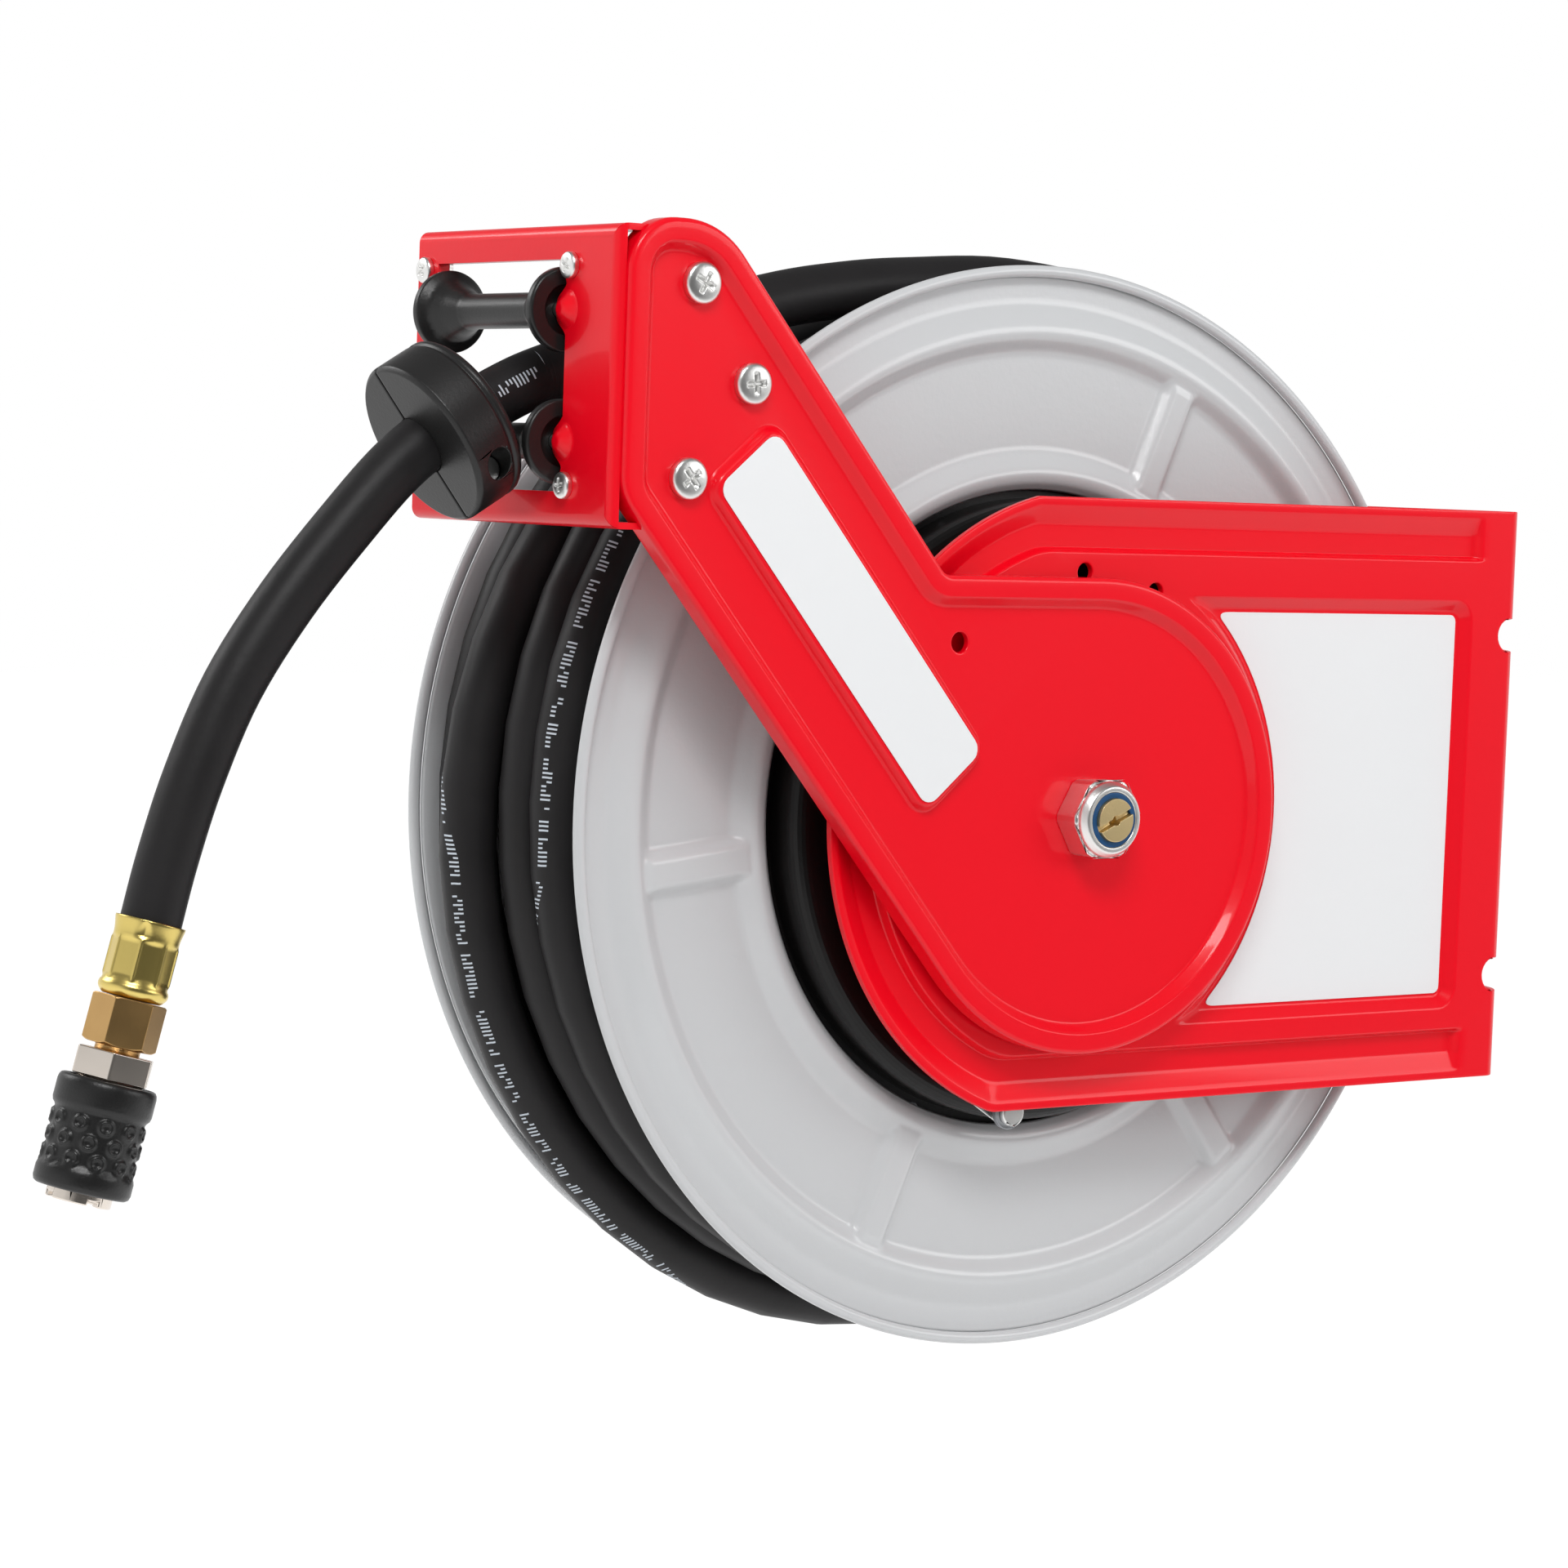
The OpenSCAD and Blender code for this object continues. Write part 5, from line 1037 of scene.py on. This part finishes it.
def guide_skin():
    """The bracket's face with its window, and its edges folded back above, below and beside the arm."""
    bm = bmesh.new()
    low, high = guide_z - guide_half + fold_r, guide_z + guide_half - fold_r
    near = guide_near + near_r
    corners, inner = ([bm.verts.new((guide_x, y, z)) for y, z in (
        (near + g, low + g), (near + g, high - g), (guide_far - g, high - g), (guide_far - g, low + g))]
        for g in (0, 0.0005))
    for i in range(4):
        bm.faces.new((corners[i], corners[(i + 1) % 4], inner[(i + 1) % 4], inner[i]))
    rim = [bm.edges.get((inner[i], inner[(i + 1) % 4])) for i in range(4)]
    heights = np.linspace(-window_half, window_half, 120)
    window = [(window_near + ear_reach(z, dome_ears + screw_ears), guide_z + z) for z in heights]
    window += [(window_far - ear_reach(z, dome_ears), guide_z + z) for z in reversed(heights)]
    loop = [bm.verts.new((guide_x, y, z)) for y, z in window]
    rim += [bm.edges.new((a, b)) for a, b in zip(loop, loop[1:] + loop[:1])]
    bmesh.ops.triangle_fill(bm, use_beauty=True, edges=rim)
    towards_near, up, down = Vector((0, -near_r, 0)), Vector((0, 0, fold_r)), Vector((0, 0, -fold_r))
    still = Vector((0, 0, 0))
    for first, last, outward, radius, depth, spread in (
            (corners[1], corners[2], Vector((0, 0, 1)), fold_r, guide_fold, (towards_near, still)),
            (corners[3], corners[0], Vector((0, 0, -1)), fold_r, guide_fold, (still, towards_near)),
            (corners[0], corners[1], Vector((0, -1, 0)), near_r, near_r, (down, up))):
        steps = [(radius * sin(a), radius - radius * cos(a)) for a in np.linspace(0, pi / 2, 9)[1:]]
        if depth > radius:
            steps.append((radius, depth))
        row = [first, last]
        starts = [first.co.copy(), last.co.copy()]
        for out, back in steps:
            share = 0.9 * out / radius
            fresh = [bm.verts.new(at + outward * out + Vector((back, 0, 0)) + wide * share)
                     for at, wide in zip(starts, spread)]
            bm.faces.new((row[0], row[1], fresh[1], fresh[0]))
            row = fresh
    bmesh.ops.recalc_face_normals(bm, faces=bm.faces)
    if sum(f.normal.x * f.calc_area() for f in bm.faces) > 0:
        bmesh.ops.reverse_faces(bm, faces=bm.faces)
    return piece_from("guide_face", bm)


def guide_tab():
    """The tab behind the arm, cut to the arm's outline, with the strip that joins it to the face."""
    outline = [(u, v) for u, v, _ in arm_loop(0.0028, 0)]
    for axis, limit, sign in ((0, guide_x + tab_len - axle_x, 1), (1, guide_z + guide_half, 1),
                              (1, guide_z - guide_half, -1)):
        kept = []
        for one, two in zip(outline, outline[1:] + outline[:1]):
            inside_one, inside_two = sign * (limit - one[axis]) >= 0, sign * (limit - two[axis]) >= 0
            if inside_one:
                kept.append(one)
            if inside_one != inside_two:
                t = (limit - one[axis]) / (two[axis] - one[axis])
                kept.append((one[0] + t * (two[0] - one[0]), one[1] + t * (two[1] - one[1])))
        outline = kept
    for i, (one, two) in enumerate(zip(outline, outline[1:] + outline[:1])):
        lower, upper = sorted((one[1], two[1]))
        if max(one[0], two[0]) < -0.18 and lower < strip_low and upper > strip_high:
            down = one[1] > two[1]
            first, last = (strip_high, strip_low) if down else (strip_low, strip_high)
            outline[i + 1:i + 1] = [(one[0], first), (strip_end, first), (strip_end, last), (one[0], last)]
            break
    return sheet_piece("guide_tab", [[(u, v, 0) for u, v in outline]], [],
                       [circle(p, bolt_hole_r, 24) for p in bracket_bolts],
                       lambda u, v, h: (axle_x + u, arm_back - h, v))


guide_parts = [guide_skin(), guide_tab()]
dome_r, dome_h = 0.0060, 0.0029
dome_profile = [(r, dome_h * (1 - soft_step(r, 0.0012, dome_r))) for r in np.linspace(0, dome_r, 15)]
for dome_y in (window_near - 0.0005, window_far + 0.0005):
    for side in (-1, 1):
        guide_parts.append(turned_piece(f"guide_dome_{len(guide_parts)}", dome_profile, 40,
                                        (guide_x, dome_y, guide_z + side * dome_at), (-1, 0, 0), (0, 1, 0)))
guide_sheet = join_pieces("guide_sheet", guide_parts)
thicken(guide_sheet, guide_t, 0.0003, True)
dress(guide_sheet, "arm", red_paint, ["guide_bracket"])
keep("guide_clamp_plate", red_paint, 0)
dress_screws("guide_screws", "guide_pan_screws", "arm", 0.004, 0.0026, 0.002, (-1, 0, 0), (0, 1, 0))
keep("guide_nuts roller_pins", zinc, 0.0002)
keep("roller_top roller_bottom", black_plastic, 0.0004)

# ------------------- what is on the hose
# The crimped sleeve, union nut, coupling and stopper are fastened to the free hose.

# ----------------------- floor and light
# A flat pale floor under the reel, soft studio lamps, and a world round them that
# lights everything evenly and shows white.

floor_z = -0.42
floor_corners = [(-8, -0.9), (8, -0.9), (8, 8), (-8, 8)]
floor = piece("floor", [(x, y, floor_z) for x, y in floor_corners], [(0, 1, 2, 3)])
floor_paint = bpy.data.materials.new("floor_paint")
floor_paint.use_nodes = True
tree = floor_paint.node_tree
white = (1, 1, 1, 1)
diffuse = tree.nodes["Principled BSDF"]
feed(tree, diffuse, {"Base Color": (0.88, 0.88, 0.88, 1), "Roughness": 0.9})
glow = add_node(tree, "Emission", {"Color": white, "Strength": 1.15})
rays = add_node(tree, "LightPath").outputs
seen = calc(tree, "MAXIMUM", rays["Is Camera Ray"], rays["Is Glossy Ray"])
blend = add_node(tree, "MixShader", {0: calc(tree, "MULTIPLY", seen, 0.8), 1: diffuse.outputs[0],
                                     2: glow.outputs[0]})
feed(tree, tree.nodes["Material Output"], {"Surface": blend.outputs[0]})
floor.data.materials.append(floor_paint)

# The world lights evenly and shows white; its reflection is darker in front and above.
world = bpy.data.worlds.new("studio")
world.use_nodes = True
tree = world.node_tree
sky = tree.nodes["Background"]
feed(tree, sky, {"Color": white, "Strength": 0.58})
shown = add_node(tree, "Background", {"Color": white, "Strength": 1.0})
rays = add_node(tree, "LightPath").outputs
direction = add_node(tree, "SeparateXYZ", {0: add_node(tree, "TexCoord").outputs["Generated"]}).outputs
levels = [add_node(tree, "MapRange", {"Value": direction[axis], "From Min": low, "From Max": high,
                                      "To Min": start, "To Max": end}).outputs["Result"]
          for axis, low, high, start, end in (("Z", 0.12, 0.5, 0.95, 0.22), ("Y", -0.8, -0.25, 0.1, 1.0))]
mirrored = add_node(tree, "Background", {"Color": white, "Strength": calc(tree, "MULTIPLY", *levels)})
unseen = add_node(tree, "MixShader", {0: rays["Is Diffuse Ray"], 1: mirrored.outputs[0], 2: sky.outputs[0]})
surface = add_node(tree, "MixShader", {0: rays["Is Camera Ray"], 1: unseen.outputs[0], 2: shown.outputs[0]})
feed(tree, tree.nodes["World Output"], {"Surface": surface.outputs[0]})
bpy.context.scene.world = world


def lamp(name, power, size, place, target):
    """A soft rectangular lamp that faces the target."""
    data = bpy.data.lights.new(name, "AREA")
    data.energy = power
    data.shape = "RECTANGLE"
    data.size, data.size_y = size
    aim = Vector(target) - Vector(place)
    add_object(name, data).matrix_world = (
        Matrix.Translation(place) @ aim.to_track_quat("-Z", "Y").to_matrix().to_4x4())


lamp("key", 22, (0.9, 0.5), (-1.1, -1.3, 1.5), (axle_x, 0, 0))
lamp("fill", 10, (1.2, 0.8), (1.2, -1.6, 0.7), (axle_x, 0, 0))
lamp("back", 10, (1.0, 0.6), (-1.3, 1.2, 1.0), (axle_x, 0, 0))
bpy.context.scene.view_settings.view_transform = "Standard"
